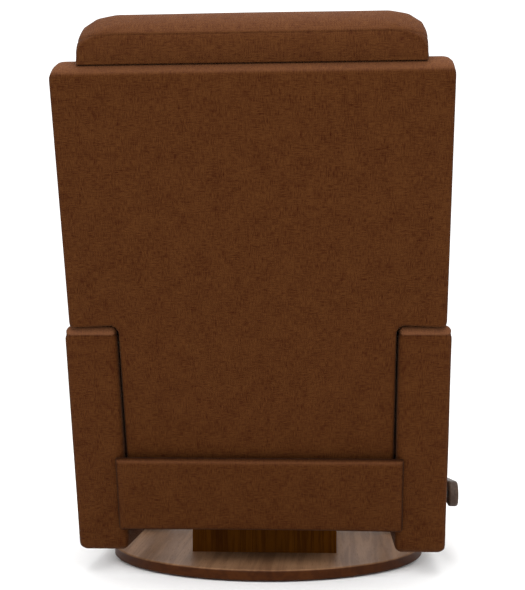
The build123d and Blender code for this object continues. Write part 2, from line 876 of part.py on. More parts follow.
with BuildPart() as lever_shaft:
    pins([lever_pivot], -shaft_end, -swing_layer, lever_shaft_radius)
    pins([lever_pivot], -shaft_end, -handle_outer + lever_screw_length, lever_screw_radius, Mode.SUBTRACT)

with BuildPart() as lever_crank:
    with BuildSketch(side_plane(-swing_outer)):
        bar([lever_pivot, pull_low], link_width)
        holes([lever_pivot], lever_shaft_radius)
    extrude(amount=bar_thickness)
    pins([pull_low], -tilt_outer, -swing_outer, link_pin_radius)

with BuildPart() as pull_link:
    with BuildSketch(side_plane(-tilt_outer)):
        bar([pull_low, pull_high], pull_link_width)
        holes([pull_low], running_hole)
        holes([pull_high], open_hole)
    extrude(amount=bar_thickness)

# Leaning frame of the back: local X across, local Y up the back, normal towards the sitter
lean = radians(back_lean)
up_back = Vector(0, sin(lean), cos(lean))
out_of_back = Vector(0, -cos(lean), sin(lean))
back_origin = Vector(0, back_reference_y, back_reference_z)
back_plane = Plane(back_origin, x_dir=(1, 0, 0), z_dir=out_of_back)


def back_level(height):
    """Plane across the back at a height along it, local Y towards the sitter."""
    return Plane(back_origin + up_back * height, x_dir=(1, 0, 0), z_dir=-up_back)


def back_side(x):
    """Side plane of the back, local X towards the sitter and local Y up the back."""
    return Plane(back_origin + Vector(x, 0, 0), x_dir=out_of_back, z_dir=(-1, 0, 0))


def back_block(x_low, x_high, u_low, u_high):
    """Rectangle on the back between two sideways and two upward positions."""
    with Locations(((x_low + x_high) / 2, (u_low + u_high) / 2)):
        Rectangle(x_high - x_low, u_high - u_low)


def back_outline():
    """T-shaped outline of the back, with rounded notches and top corners."""
    with BuildSketch(back_plane) as outline:
        back_block(-back_lower_half_width, back_lower_half_width, back_bottom, back_top)
        back_block(-back_wing_half_width, back_wing_half_width, back_wing_bottom, back_top)
        fillet(outline.vertices().group_by(Axis.Y)[1].sort_by(Axis.X)[1:3], back_notch_round)
        for end in (0, -1):
            fillet(outline.vertices().group_by(Axis.X)[end].sort_by(Axis.Y)[0], back_wing_corner)
            fillet(outline.vertices().group_by(Axis.X)[end].sort_by(Axis.Y)[-1], back_top_corner)
    return outline.sketch


def dome_height(depth):
    """Height of the domed top of the back at a depth from its rear."""
    return back_top - dome_radius + (dome_radius**2 - (back_crest_depth - depth) ** 2) ** 0.5


def above_dome():
    """Side view of what is cut away above the domed top of the back."""
    rear_edge = back_top - back_top_drop
    front_edge = 2 * back_crest_depth
    with BuildSketch(back_side(0)) as section:
        with BuildLine():
            ThreePointArc((0, rear_edge), (back_crest_depth, back_top), (front_edge, rear_edge))
            Polyline(
                (front_edge, rear_edge),
                (front_edge, back_top + back_top_drop),
                (0, back_top + back_top_drop),
                (0, rear_edge),
            )
        make_face()
    return section.sketch


# Padded outside back, T-shaped with wings over the arms and a domed top
with BuildPart() as back_outer_panel:
    extrude(back_outline(), amount=back_panel_thickness)
    rear_edges = back_outer_panel.faces().sort_by(Axis((0, 0, 0), out_of_back))[0].edges()
    fillet(rear_edges, back_panel_edge_round)
    extrude(above_dome(), amount=back_wing_half_width, both=True, mode=Mode.SUBTRACT)

# Border strips that close the sides of the back
border_inner = back_lower_half_width - border_thickness
wing_inner = back_wing_half_width - border_thickness
joint = running_clearance
with BuildPart() as back_border:
    with BuildSketch(back_plane.offset(back_panel_thickness)):
        back_block(border_inner, back_lower_half_width, back_bottom, back_wing_bottom - joint)
        back_block(border_inner, back_wing_half_width, back_wing_bottom, back_wing_bottom + border_thickness)
        back_block(
            wing_inner,
            back_wing_half_width,
            back_wing_bottom + border_thickness + joint,
            back_top - border_thickness - joint,
        )
    extrude(amount=back_depth - back_panel_thickness)
    mirror(about=Plane.YZ)
    with BuildSketch(back_plane.offset(back_panel_thickness)):
        back_block(-back_wing_half_width, back_wing_half_width, back_top - border_thickness, back_top)
        back_block(-border_inner + joint, border_inner - joint, back_bottom, back_bottom + border_thickness)
    extrude(amount=back_depth - back_panel_thickness)
    pins(
        [recline_pivot],
        -back_wing_half_width,
        back_wing_half_width,
        recline_pin_radius + recline_pin_room,
        Mode.SUBTRACT,
    )
    extrude(back_outline(), amount=back_depth, mode=Mode.INTERSECT)
    extrude(above_dome(), amount=back_wing_half_width, both=True, mode=Mode.SUBTRACT)

# Wooden frame of the back
stile_inner = bracket_layer - stile_width
frame_low = back_bottom + border_thickness + joint
frame_high = back_top - border_thickness - joint
with BuildPart() as back_stiles:
    with BuildSketch(back_plane.offset(back_panel_thickness)):
        back_block(stile_inner, bracket_layer, frame_low, frame_high)
    extrude(amount=stile_depth)
    mirror(about=Plane.YZ)

with BuildPart() as back_rails:
    with BuildSketch(back_plane.offset(back_panel_thickness)):
        for low in (frame_low, back_wing_bottom, frame_high - back_rail_width):
            back_block(-stile_inner, stile_inner, low, low + back_rail_width)
    extrude(amount=stile_depth)

with BuildPart() as wing_boards:
    with BuildSketch(back_plane.offset(back_panel_thickness)):
        back_block(
            bracket_layer,
            wing_inner - joint,
            back_wing_bottom + border_thickness + joint,
            frame_high,
        )
    extrude(amount=wing_board_thickness)
    mirror(about=Plane.YZ)

with BuildPart() as back_brackets:
    with BuildSketch(back_side(bracket_layer + back_bracket_thickness)):
        pivot_height = (Vector(0, recline_pivot.X, recline_pivot.Y) - back_origin).dot(up_back)
        bar(
            [
                Vector(recline_pivot_depth, pivot_height),
                Vector(recline_pivot_depth, pivot_height + bracket_length),
            ],
            bracket_width,
        )
        holes([Vector(recline_pivot_depth, pivot_height)], recline_pin_radius + running_clearance)
    extrude(amount=back_bracket_thickness)
    mirror(about=Plane.YZ)

# Sinuous back springs from stile to stile
frame_front = back_panel_thickness + stile_depth
back_spring_half = bracket_layer - stile_width / 2
spring_rise = (frame_high - frame_low) / (back_spring_count + 1)
with BuildPart() as back_springs:
    for index in range(back_spring_count):
        with BuildSketch(
            Plane(back_origin + out_of_back * frame_front, x_dir=up_back, z_dir=out_of_back)
        ):
            sinuous_spring(
                (frame_low + spring_rise * (index + 1), -back_spring_half),
                2 * back_spring_half,
                back_spring_bends,
                spring_amplitude,
                spring_bend_radius,
                spring_wire,
            )
        extrude(amount=spring_wire)

# Back cushion, narrow between the arms and wide above them
cushion_rear = frame_front + spring_wire
with BuildPart() as back_cushion:
    stations = soft_stations(back_cushion_bottom, back_cushion_top, back_cushion_end_round)
    shoulder = [
        (back_cushion_wing_bottom, 0, back_cushion_half_width),
        (back_cushion_wing_bottom + back_cushion_end_round, 0, back_cushion_wing_half_width),
    ]
    low_end = [(height, share, back_cushion_half_width) for height, share in stations[: len(stations) // 2]]
    top_stations = stations[len(stations) // 2 :]
    top_end = [(height, share, back_cushion_wing_half_width) for height, share in top_stations]
    sections = []
    for height, share, half_width in low_end + shoulder + top_end:
        section = cushion_section(
            back_level(height),
            half_width - back_cushion_drawn_in * share,
            cushion_rear,
            cushion_rear + back_cushion_thickness - back_cushion_end_round * share,
            cushion_side_bulge,
            back_cushion_crown * (1 - share / 2),
        )
        sections.append(section)
    loft(sections, ruled=True)


def pillow_section(x, drop, draw):
    """Side view of the head pillow, lowered by a drop and drawn in at the front."""
    seam = pillow_seam - drop
    front_top = Vector(pillow_front - pillow_end_draw - draw, seam - drop / 4)
    front_low = Vector(cushion_rear + back_cushion_thickness / 2 - draw, pillow_bottom)
    hook_middle = (pillow_rear + back_crest_depth) / 2
    with BuildSketch(back_side(x)) as section:
        with BuildLine():
            Polyline(
                front_low,
                (cushion_rear, pillow_bottom),
                (cushion_rear, back_top + joint),
                (back_crest_depth, back_top + joint),
            )
            ThreePointArc(
                (back_crest_depth, back_top + joint),
                (hook_middle, dome_height(hook_middle) + joint),
                (pillow_rear, dome_height(pillow_rear) + joint),
            )
            Line((pillow_rear, dome_height(pillow_rear) + joint), (pillow_rear, seam))
            ThreePointArc((pillow_rear, seam), (pillow_crown_depth, pillow_top - drop), front_top)
            ThreePointArc(
                front_top, (pillow_front - draw, (front_top.Y + pillow_bottom) / 2), front_low
            )
        make_face()
    return section.sketch


# Head pillow that hooks over the top of the back, its top corners rounded
with BuildPart() as head_pillow:
    sections = []
    for x, share in soft_stations(-pillow_half_width, pillow_half_width, pillow_corner_width):
        sections.append(pillow_section(x, pillow_corner_drop * share, pillow_end_draw * share))
    loft(sections, ruled=True)

pieces = {
    "base_glides": base_glides,
    "base_disc": base_disc,
    "pedestal_boards": pedestal_boards,
    "pedestal_cap": pedestal_cap,
    "base_screws": base_screws,
    "swivel_lower_plate": swivel_lower_plate,
    "swivel_pivot": swivel_pivot,
    "swivel_cage": swivel_cage,
    "swivel_balls": swivel_balls,
    "swivel_upper_plate": swivel_upper_plate,
    "glider_channels": glider_channels,
    "glider_uprights": glider_uprights,
    "glider_upper_pins": glider_upper_pins,
    "front_glide_links": front_glide_links,
    "rear_glide_links": rear_glide_links,
    "carriage_rails": carriage_rails,
    "carriage_risers": carriage_risers,
    "glider_lower_pins": glider_lower_pins,
    "cross_tubes": cross_tubes,
    "side_plate_left": side_plate_left,
    "side_plate_right": side_plate_right,
    "mechanism_pins": mechanism_pins,
    "mechanism_bolts": mechanism_bolts,
    "seat_rail_front": seat_rail_front,
    "seat_rail_rear": seat_rail_rear,
    "seat_springs": seat_springs,
    "spring_clips": spring_clips,
    "seat_deck": seat_deck,
    "seat_cushion": seat_cushion,
    "arm_frame_left": arm_frame_left,
    "arm_frame_right": arm_frame_right,
    "arm_cover_left": arm_cover_left,
    "arm_cover_right": arm_cover_right,
    "rear_valance": rear_valance,
    "lever_bush": lever_bush,
    "front_swing_links": front_swing_links,
    "swing_link_pins": swing_link_pins,
    "drive_tube": drive_tube,
    "rear_swing_links": rear_swing_links,
    "carrier_bars": carrier_bars,
    "carrier_pins": carrier_pins,
    "tilt_links": tilt_links,
    "footrest_brackets": footrest_brackets,
    "footrest_pins": footrest_pins,
    "footrest_board": footrest_board,
    "footrest_pad": footrest_pad,
    "lever_handle": lever_handle,
    "lever_shaft": lever_shaft,
    "lever_crank": lever_crank,
    "lever_screw": lever_screw,
    "pull_link": pull_link,
    "back_outer_panel": back_outer_panel,
    "back_border": back_border,
    "back_stiles": back_stiles,
    "back_rails": back_rails,
    "wing_boards": wing_boards,
    "back_springs": back_springs,
    "back_brackets": back_brackets,
    "back_cushion": back_cushion,
    "head_pillow": head_pillow,
}
for name, piece in pieces.items():
    piece.part.label = name
    export_step(piece.part, f"parts/{name}.step")
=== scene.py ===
"""Glider recliner with woven covers on a walnut base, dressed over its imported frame."""

import math

import bpy
import numpy as np
from mathutils import Matrix, Vector


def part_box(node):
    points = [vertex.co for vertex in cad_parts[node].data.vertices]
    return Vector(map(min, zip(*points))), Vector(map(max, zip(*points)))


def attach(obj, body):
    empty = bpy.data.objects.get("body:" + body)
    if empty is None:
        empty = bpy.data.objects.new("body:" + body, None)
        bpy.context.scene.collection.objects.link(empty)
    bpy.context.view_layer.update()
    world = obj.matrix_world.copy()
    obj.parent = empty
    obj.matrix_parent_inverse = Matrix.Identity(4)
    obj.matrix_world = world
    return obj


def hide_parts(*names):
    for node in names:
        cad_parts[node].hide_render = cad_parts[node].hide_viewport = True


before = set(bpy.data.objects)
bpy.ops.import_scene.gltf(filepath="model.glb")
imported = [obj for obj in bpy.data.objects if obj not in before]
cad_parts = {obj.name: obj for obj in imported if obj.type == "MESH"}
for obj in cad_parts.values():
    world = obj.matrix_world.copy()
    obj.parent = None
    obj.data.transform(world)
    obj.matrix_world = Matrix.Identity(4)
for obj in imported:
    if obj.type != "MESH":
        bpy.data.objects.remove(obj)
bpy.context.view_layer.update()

bl_info = {
    "name": "Glider recliner dressing",
    "version": (1, 0, 0),
    "blender": (4, 5, 0),
    "location": "View3D > Sidebar > Recliner",
    "description": "Covers, finishes and studio for a swivel glider recliner",
    "category": "Object",
}


def length(name, description, default):
    return bpy.props.FloatProperty(name=name, description=description, default=default, unit="LENGTH")


def angle(name, description, degrees):
    return bpy.props.FloatProperty(
        name=name, description=description, default=math.radians(degrees), subtype="ANGLE"
    )


def point(name, description, default):
    return bpy.props.FloatVectorProperty(
        name=name, description=description, default=default, subtype="TRANSLATION", unit="LENGTH"
    )


def tint(name, description, default):
    return bpy.props.FloatVectorProperty(name=name, description=description, default=default, subtype="COLOR")


def factor(name, description, default):
    return bpy.props.FloatProperty(name=name, description=description, default=default)


def watts(name, description, default):
    return bpy.props.FloatProperty(name=name, description=description, default=default, unit="POWER")


class CoverSizes(bpy.types.PropertyGroup):
    """Sizes of the upholstery that a maker would change."""

    back_lean: angle("Back lean", "Lean of the outside back", 20.3)
    back_foot: point(
        "Back reference", "Place on the outside back that its heights count from", (0.0, 0.4277, 0.494)
    )
    back_corner: length("Back corner", "Rounding of the wings' top corners", 0.020)
    back_notch: length("Back notch", "Rounding where the wings meet the column", 0.016)
    back_edge: length("Back edge", "Rounding of the outside back's rear edge", 0.005)
    back_rim: length("Back rim", "Rounding of the outside back's front rim", 0.006)
    back_proud: length("Back proud", "How far the back's cover stands proud of its panel", 0.002)
    back_wall: length("Back wall", "Thickness of the outside back's sides round its hollow", 0.0086)
    dome_drop: length("Dome drop", "Fall of the back's domed top to its rear edge", 0.0165)
    dome_crest: length("Dome crest", "Depth of the crest of the back's domed top", 0.050)
    dome_reach: length("Dome reach", "How far down from its top the back takes the dome's shape", 0.045)
    wing_sag: length("Wing sag", "How far the wings' lower rear corners hang down", 0.006)
    wing_sag_height: length("Wing sag height", "Height over which the wings' sag fades", 0.030)
    wing_sag_depth: length("Wing sag depth", "Depth from the rear that the wings' sag reaches", 0.022)
    valance_corner: length("Valance corner", "Rounding of the valance's corners", 0.004)
    valance_edge: length("Valance edge", "Rounding of the valance's outer edges", 0.0045)
    valance_puff: length("Valance puff", "Most that the valance swells", 0.0025)
    arm_edge: length("Arm edge", "Rounding of the arms' long edges", 0.012)
    arm_proud: length("Arm proud", "How far the arm covers stand out and down", 0.0035)
    arm_facet: length("Arm facet", "Set-back of the facet at the arms' rear top", 0.019)
    arm_front_corner: length("Arm front corner", "Rounding of the arms' upper front corners", 0.034)
    arm_low_corner: length("Arm low corner", "Rounding of the arms' lower corners", 0.014)
    arm_front_top: length("Arm height", "Height of the arms at their front", 0.556)
    arm_slope: angle("Arm slope", "Fall of the arm tops to the rear", 3.0)
    arm_rear: length("Arm rear", "Place of the arms' rear at the bottom", 0.293)
    arm_lean: angle("Arm lean", "Lean of the arms' rear faces", 17.2)
    arm_crown: length("Arm crown", "Most that the arm tops rise over their flat rear", 0.004)
    facet_seam: length("Facet seam", "Fall from an arm's top to the seam across its rear", 0.0185)
    side_seam: length("Side seam", "Fall from an arm's top to the seams along its sides", 0.017)
    seam_depth: length("Seam depth", "How far a seam pulls the cover in", 0.0035)
    seam_width: length("Seam width", "Half-width of the dip along a seam", 0.006)
    seat_puff: length("Seat puff", "Most that the seat and back cushions swell", 0.024)
    seat_upper_seam: length("Seat upper seam", "Height of the seat cushion's upper seam", 0.098)
    seat_lower_seam: length("Seat lower seam", "Height of the seat cushion's lower seam", 0.014)
    back_boxing: length("Back boxing", "Depth of the back cushion's boxing up to its seam", 0.082)
    back_fold: length("Back fold", "Height of the sewn fold across the back cushion", 0.085)
    pillow_puff: length("Pillow puff", "Most that the head pillow swells", 0.008)
    pillow_reach: length("Pillow reach", "How far the pillow's rear leans over the domed top", 0.008)
    pillow_seam: length("Pillow seam", "Height of the pillow's seam at its rear", 0.574)
    pad_puff: length("Pad puff", "Most that the pads and arm covers swell", 0.006)
    pad_boxing: length("Pad boxing", "Depth of the footrest pad's boxing up to its seam", 0.016)
    taut_step: length("Taut step", "Mesh step of the taut covers", 0.0065)
    cushion_step: length("Cushion step", "Mesh step of the seat and back cushions", 0.008)
    pad_step: length("Pad step", "Mesh step of the pillow and the footrest pad", 0.006)
    valance_step: length("Valance step", "Mesh step of the valance", 0.004)


class FinishColours(bpy.types.PropertyGroup):
    """Colours of the finishes, as linear values, and the pitch of the cover's threads."""

    cover_dark: tint("Cover dark", "Shaded yarn", (0.0215, 0.0026, 0.0000))
    cover_light: tint("Cover light", "Lit yarn", (0.0635, 0.0205, 0.0042))
    # Painted highlight: the paler colour added on lit tops and edges of the cover
    cover_highlight: tint("Cover highlight", "What the painted highlight adds to the yarn", (0.064, 0.0290, 0.0155))
    thread_pitch: length("Thread pitch", "Distance between threads of the cover", 0.0026)
    walnut_dark: tint("Walnut dark", "Late wood of the walnut", (0.136, 0.0635, 0.0305))
    walnut_light: tint("Walnut light", "Early wood of the walnut", (0.272, 0.1500, 0.0810))
    pedestal_dark: tint("Pedestal dark", "Late wood of the pedestal", (0.038, 0.0090, 0.0002))
    pedestal_light: tint("Pedestal light", "Early wood of the pedestal", (0.120, 0.0380, 0.0016))
    handle_dark: tint("Handle dark", "Late wood of the handle", (0.036, 0.021, 0.0135))
    handle_light: tint("Handle light", "Early wood of the handle", (0.078, 0.049, 0.034))
    ply_dark: tint("Plywood dark", "Late wood of the plywood", (0.330, 0.190, 0.090))
    ply_light: tint("Plywood light", "Early wood of the plywood", (0.560, 0.390, 0.220))
    stain_dark: tint("Stain dark", "Late wood of stained plywood", (0.016, 0.0050, 0.0014))
    stain_light: tint("Stain light", "Early wood of stained plywood", (0.042, 0.0160, 0.0060))


class StudioSettings(bpy.types.PropertyGroup):
    """Camera and light of the studio."""

    eye: point("Eye", "Camera place", (-0.1439, 2.644, 0.4857))
    yaw: angle("Yaw", "Camera turn about the vertical", 183.43)
    lens: factor("Lens", "Focal length in millimetres", 69.75)
    rise: factor("Rise", "Upward shift of the view", 0.0778)
    aside: factor("Aside", "Sideways shift of the view", 0.0009)
    overhead: watts("Overhead", "Power of the light above", 30.0)
    rear: watts("Rear", "Power of the light behind", 48.0)
    base: watts("Base", "Power of each light under the seat", 0.13)
    ends: watts("Ends", "Power of each light under an arm", 0.045)
    sky: factor("Sky", "Strength of the even light", 1.3)


def sizes():
    return bpy.context.scene.recliner_sizes


def colours():
    return bpy.context.scene.recliner_colours


def studio():
    return bpy.context.scene.recliner_studio


# Length of the simulations, and where cushions start and rest
FILL_PRESSURE = 4.0
FILL_FRAMES = 20
TAUT_FRAMES = 10
CUSHION_DRAW = 0.006
PAD_DRAW = 0.003
REST_ZONE = 0.005

# A distance that is nowhere near a seam
FAR = 1.0

# For faces that look along each axis, the axes that the weave's two directions follow
WEAVE_ON_CHAIR = ((1, 0, 0), (2, 2, 1))
WEAVE_ON_BACK = ((2, 0, 0), (1, 2, 1))


def back_matrix():
    """Turns (across, up the back, out to the front) into the shared frame."""
    lean = sizes().back_lean
    across = Vector((1, 0, 0))
    up = Vector((0, math.sin(lean), math.cos(lean)))
    out = Vector((0, -math.cos(lean), math.sin(lean)))
    turned = Matrix((across, up, out)).transposed().to_4x4()
    return Matrix.Translation(Vector(sizes().back_foot)) @ turned


def clear_selection():
    if bpy.context.mode != "OBJECT":
        bpy.ops.object.mode_set(mode="OBJECT")
    bpy.ops.object.select_all(action="DESELECT")


def take(obj):
    clear_selection()
    obj.select_set(True)
    bpy.context.view_layer.objects.active = obj


def new_cube(name, low, high):
    """A box between two corners, its place in its mesh."""
    clear_selection()
    middle = [(a + b) / 2 for a, b in zip(low, high)]
    bpy.ops.mesh.primitive_cube_add(size=1, location=middle)
    obj = bpy.context.active_object
    obj.name = name
    obj.scale = [b - a for a, b in zip(low, high)]
    bpy.ops.object.transform_apply(location=True, rotation=True, scale=True)
    return obj


def copy_of_node(node, name):
    """A merged copy of a frame node's mesh, free to be shaped."""
    obj = bpy.data.objects.new(name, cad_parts[node].data.copy())
    bpy.context.scene.collection.objects.link(obj)
    obj.data.materials.clear()
    take(obj)
    bpy.ops.object.mode_set(mode="EDIT")
    bpy.ops.mesh.select_all(action="SELECT")
    bpy.ops.mesh.remove_doubles(threshold=0.00002)
    bpy.ops.mesh.normals_make_consistent(inside=False)
    bpy.ops.object.mode_set(mode="OBJECT")
    return obj


def points_of(obj):
    flat = np.empty(len(obj.data.vertices) * 3)
    obj.data.vertices.foreach_get("co", flat)
    return flat.reshape(-1, 3)


def set_points(obj, points):
    obj.data.vertices.foreach_set("co", np.ascontiguousarray(points, dtype=np.float64).ravel())
    obj.data.update()


def node_points(name, to_frame):
    """A frame node's points, in the coordinates that to_frame turns into the shared frame."""
    inward = np.array(to_frame.inverted())
    return points_of(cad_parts[name]) @ inward[:3, :3].T + inward[:3, 3]


def normals_of(obj):
    flat = np.empty(len(obj.data.vertices) * 3)
    obj.data.vertices.foreach_get("normal", flat)
    return flat.reshape(-1, 3)


def select_edges(obj, wanted):
    """Selects the edges whose two ends pass a test, in edge mode."""
    take(obj)
    bpy.ops.object.mode_set(mode="EDIT")
    bpy.ops.mesh.select_mode(type="EDGE")
    bpy.ops.mesh.select_all(action="DESELECT")
    bpy.ops.object.mode_set(mode="OBJECT")
    for edge in obj.data.edges:
        a, b = (obj.data.vertices[i].co for i in edge.vertices)
        edge.select = bool(wanted(a, b))
    bpy.ops.object.mode_set(mode="EDIT")


def round_edges(obj, wanted, radius, segments):
    select_edges(obj, wanted)
    bpy.ops.mesh.bevel(offset=radius, segments=segments, profile=0.5, affect="EDGES", clamp_overlap=True)
    bpy.ops.object.mode_set(mode="OBJECT")


def apply_modifier(obj, name):
    take(obj)
    bpy.ops.object.modifier_apply(modifier=name)


def remesh(obj, voxel):
    made = obj.modifiers.new("even_mesh", "REMESH")
    made.mode = "VOXEL"
    made.voxel_size = voxel
    made.use_smooth_shade = True
    apply_modifier(obj, made.name)


def puff(obj, cap, held, frames=FILL_FRAMES):
    """Swells a cover by a cloth simulation, with some points held, and keeps each within cap of its start."""
    rest = points_of(obj)
    group = obj.vertex_groups.new(name="held")
    group.add([int(i) for i in np.nonzero(held(rest))[0]], 1.0, "REPLACE")
    cloth = obj.modifiers.new("fill", "CLOTH")
    cloth.settings.quality = 4
    cloth.settings.use_pressure = True
    cloth.settings.uniform_pressure_force = FILL_PRESSURE
    cloth.settings.effector_weights.gravity = 0
    cloth.settings.bending_stiffness = 2.0
    cloth.settings.vertex_group_mass = "held"
    cloth.point_cache.frame_start = 1
    cloth.point_cache.frame_end = frames
    for number in range(1, frames + 1):
        bpy.context.scene.frame_set(number)
    apply_modifier(obj, cloth.name)
    bpy.context.scene.frame_set(1)
    obj.vertex_groups.clear()
    move = points_of(obj) - rest
    travel = np.linalg.norm(move, axis=1, keepdims=True)
    kept = cap * np.tanh(travel / cap)
    set_points(obj, rest + move * kept / np.maximum(travel, 1e-9))


def rounding(obj, facings, flat=0.985):
    """Tells which points lie on rounded edges, where the normal is near none of the piece's main facings."""
    normals = normals_of(obj)
    best = np.max(np.stack([normals @ np.array(facing) for facing in facings]), axis=0)
    return best < flat


def smooth(obj):
    made = obj.modifiers.new("fine", "SUBSURF")
    made.levels = 1
    made.render_levels = 1
    apply_modifier(obj, made.name)


def keep_inside(obj, low, high):
    """Keeps a swollen cover clear of its neighbours."""
    set_points(obj, np.clip(points_of(obj), low, high))


def mark(obj, name, amount):
    """Stores one number for each point, for the finish to read."""
    layer = obj.data.attributes.get(name) or obj.data.attributes.new(name, "FLOAT", "POINT")
    layer.data.foreach_set("value", np.ascontiguousarray(amount, dtype=np.float32))


def sew(obj, distances, depth=None, width=None, shade=1.0):
    """Pulls the cover in along seams and paints shade along them, darkest on the seam line; each row holds
    every point's distance to one seam.
    """
    depth = sizes().seam_depth if depth is None else depth
    width = sizes().seam_width if width is None else width
    line_share = 0.4
    nearest = np.min(np.stack(distances), axis=0)
    dip = np.exp(-((nearest / width) ** 2))
    set_points(obj, points_of(obj) - normals_of(obj) * (depth * dip)[:, None])
    # Painted shade in the seam's crease, for the finish to darken the colour by
    mark(obj, "seam", shade * np.exp(-((nearest / (line_share * width)) ** 2)))


def lay_weave(obj, axes=WEAVE_ON_CHAIR):
    """Lays the weave flat on each face, in metres, along the axes given for the way the face looks."""
    mesh = obj.data
    points = points_of(obj)
    flat = np.empty(len(mesh.polygons) * 3)
    mesh.polygons.foreach_get("normal", flat)
    facing = np.abs(flat.reshape(-1, 3)).argmax(axis=1)
    counts = np.empty(len(mesh.polygons), dtype=np.int32)
    mesh.polygons.foreach_get("loop_total", counts)
    corners = np.empty(len(mesh.loops), dtype=np.int32)
    mesh.loops.foreach_get("vertex_index", corners)
    along, rising = (np.array(row)[np.repeat(facing, counts)] for row in axes)
    laid = np.stack([points[corners, along], points[corners, rising]], axis=1)
    layer = mesh.uv_layers.new(name="weave")
    layer.data.foreach_set("uv", laid.ravel())


def dress(obj, finish, body, slot, *stands_for):
    """Finishes a new piece: smooth faces, material and body, and hides the nodes it stands for; slot is not
    used.
    """
    take(obj)
    bpy.ops.object.shade_smooth()
    obj.data.materials.clear()
    obj.data.materials.append(finish)
    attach(obj, body)
    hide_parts(*stands_for)


def node(tree, kind, **values):
    """Adds a shader node; keys name its settings, or its inputs by socket name."""
    made = tree.nodes.new(kind)
    for key, value in values.items():
        if hasattr(made, key):
            setattr(made, key, value)
        else:
            made.inputs[key.replace("_", " ")].default_value = value
    return made


def math_node(tree, operation, first, second=None, third=None):
    made = tree.nodes.new("ShaderNodeMath")
    made.operation = operation
    for socket, value in zip(made.inputs, (first, second, third)):
        if isinstance(value, bpy.types.NodeSocket):
            tree.links.new(value, socket)
        elif value is not None:
            socket.default_value = value
    return made.outputs[0]


def noise(tree, vector, scale=1.0, detail=2.0, rough=0.5, warp=0.0):
    made = tree.nodes.new("ShaderNodeTexNoise")
    made.inputs["Scale"].default_value = scale
    made.inputs["Detail"].default_value = detail
    made.inputs["Roughness"].default_value = rough
    made.inputs["Distortion"].default_value = warp
    tree.links.new(vector, made.inputs["Vector"])
    return made.outputs["Fac"]


def stretched(tree, vector, scale, turn=(0, 0, 0)):
    made = tree.nodes.new("ShaderNodeMapping")
    made.inputs["Scale"].default_value = scale
    made.inputs["Rotation"].default_value = turn
    tree.links.new(vector, made.inputs["Vector"])
    return made.outputs["Vector"]


def new_group(name, takes, gives):
    group = bpy.data.node_groups.new(name, "ShaderNodeTree")
    for title, kind, default in takes:
        socket = group.interface.new_socket(name=title, in_out="INPUT", socket_type=kind)
        if default is not None:
            socket.default_value = default
    for title, kind in gives:
        group.interface.new_socket(name=title, in_out="OUTPUT", socket_type=kind)
    entry = group.nodes.new("NodeGroupInput")
    end = group.nodes.new("NodeGroupOutput")
    return group, entry.outputs, end.inputs


def thread_height(tree, turns):
    """Rounded height across threads that lie one to a turn."""
    return math_node(tree, "ABSOLUTE", math_node(tree, "SINE", math_node(tree, "MULTIPLY", turns, math.pi)))


def weave_group():
    """Plain weave of round yarns with slubs: the yarn's tone with painted shade between its threads, and its
    height.
    """
    if "Plain weave" in bpy.data.node_groups:
        return bpy.data.node_groups["Plain weave"]
    group, given, out = new_group(
        "Plain weave",
        [("Vector", "NodeSocketVector", None), ("Pitch", "NodeSocketFloat", 0.0026)],
        [("Shade", "NodeSocketFloat"), ("Height", "NodeSocketFloat")],
    )
    split = group.nodes.new("ShaderNodeSeparateXYZ")
    group.links.new(given["Vector"], split.inputs[0])
    drift = noise(group, given["Vector"], scale=55.0, detail=1.0)
    drift = math_node(group, "MULTIPLY_ADD", drift, 0.9, -0.45)
    across = math_node(group, "DIVIDE", split.outputs[0], given["Pitch"])
    across = math_node(group, "ADD", across, drift)
    rising = math_node(group, "DIVIDE", split.outputs[1], given["Pitch"])
    rising = math_node(group, "ADD", rising, drift)
    warp = thread_height(group, across)
    weft = thread_height(group, rising)
    cell = math_node(group, "ADD", math_node(group, "FLOOR", across), math_node(group, "FLOOR", rising))
    over = math_node(group, "FLOORED_MODULO", cell, 2.0)
    under = math_node(group, "SUBTRACT", 1.0, over)
    height = math_node(group, "MULTIPLY_ADD", warp, over, math_node(group, "MULTIPLY", weft, under))
    slubs_along, slubs_across = 80.0, 560.0
    level = noise(group, stretched(group, given["Vector"], (slubs_along, slubs_across, 1.0)))
    upright = noise(group, stretched(group, given["Vector"], (slubs_across, slubs_along, 1.0)))
    patch = node(group, "ShaderNodeMapRange", From_Min=0.25, From_Max=0.75)
    group.links.new(noise(group, given["Vector"], scale=45.0, detail=1.0), patch.inputs["Value"])
    strokes = node(group, "ShaderNodeMix")
    for socket, source in zip((0, 2, 3), (patch.outputs["Result"], level, upright)):
        group.links.new(source, strokes.inputs[socket])
    strokes = strokes.outputs[0]
    cloudy = noise(group, given["Vector"], scale=24.0, detail=3.0)
    along, aside = 38.0, 150.0
    long_way = stretched(group, given["Vector"], (along, aside, 1.0))
    long_marks = noise(group, long_way, detail=3.0, rough=0.6, warp=0.6)
    tall_way = stretched(group, given["Vector"], (aside, along, 1.0))
    tall_marks = noise(group, tall_way, detail=3.0, rough=0.6, warp=0.6)
    marks = math_node(group, "MINIMUM", long_marks, tall_marks)
    marks = math_node(group, "SMOOTH_MIN", marks, 0.44, 0.06)
    shade = math_node(group, "MULTIPLY_ADD", strokes, 2.6, -1.3)
    # Painted shade between threads: the thread height lightens the crowns; the strokes, marks and clouds are
    # the yarn's own tone
    for part, weight in ((marks, 1.6), (cloudy, 0.6), (height, 0.30)):
        shade = math_node(group, "MULTIPLY_ADD", part, weight, shade)
    shade = math_node(group, "SUBTRACT", shade, 0.48)
    clamp = group.nodes.new("ShaderNodeClamp")
    group.links.new(shade, clamp.inputs[0])
    group.links.new(clamp.outputs[0], out["Shade"])
    group.links.new(math_node(group, "MULTIPLY_ADD", strokes, 0.6, height), out["Height"])
    return group


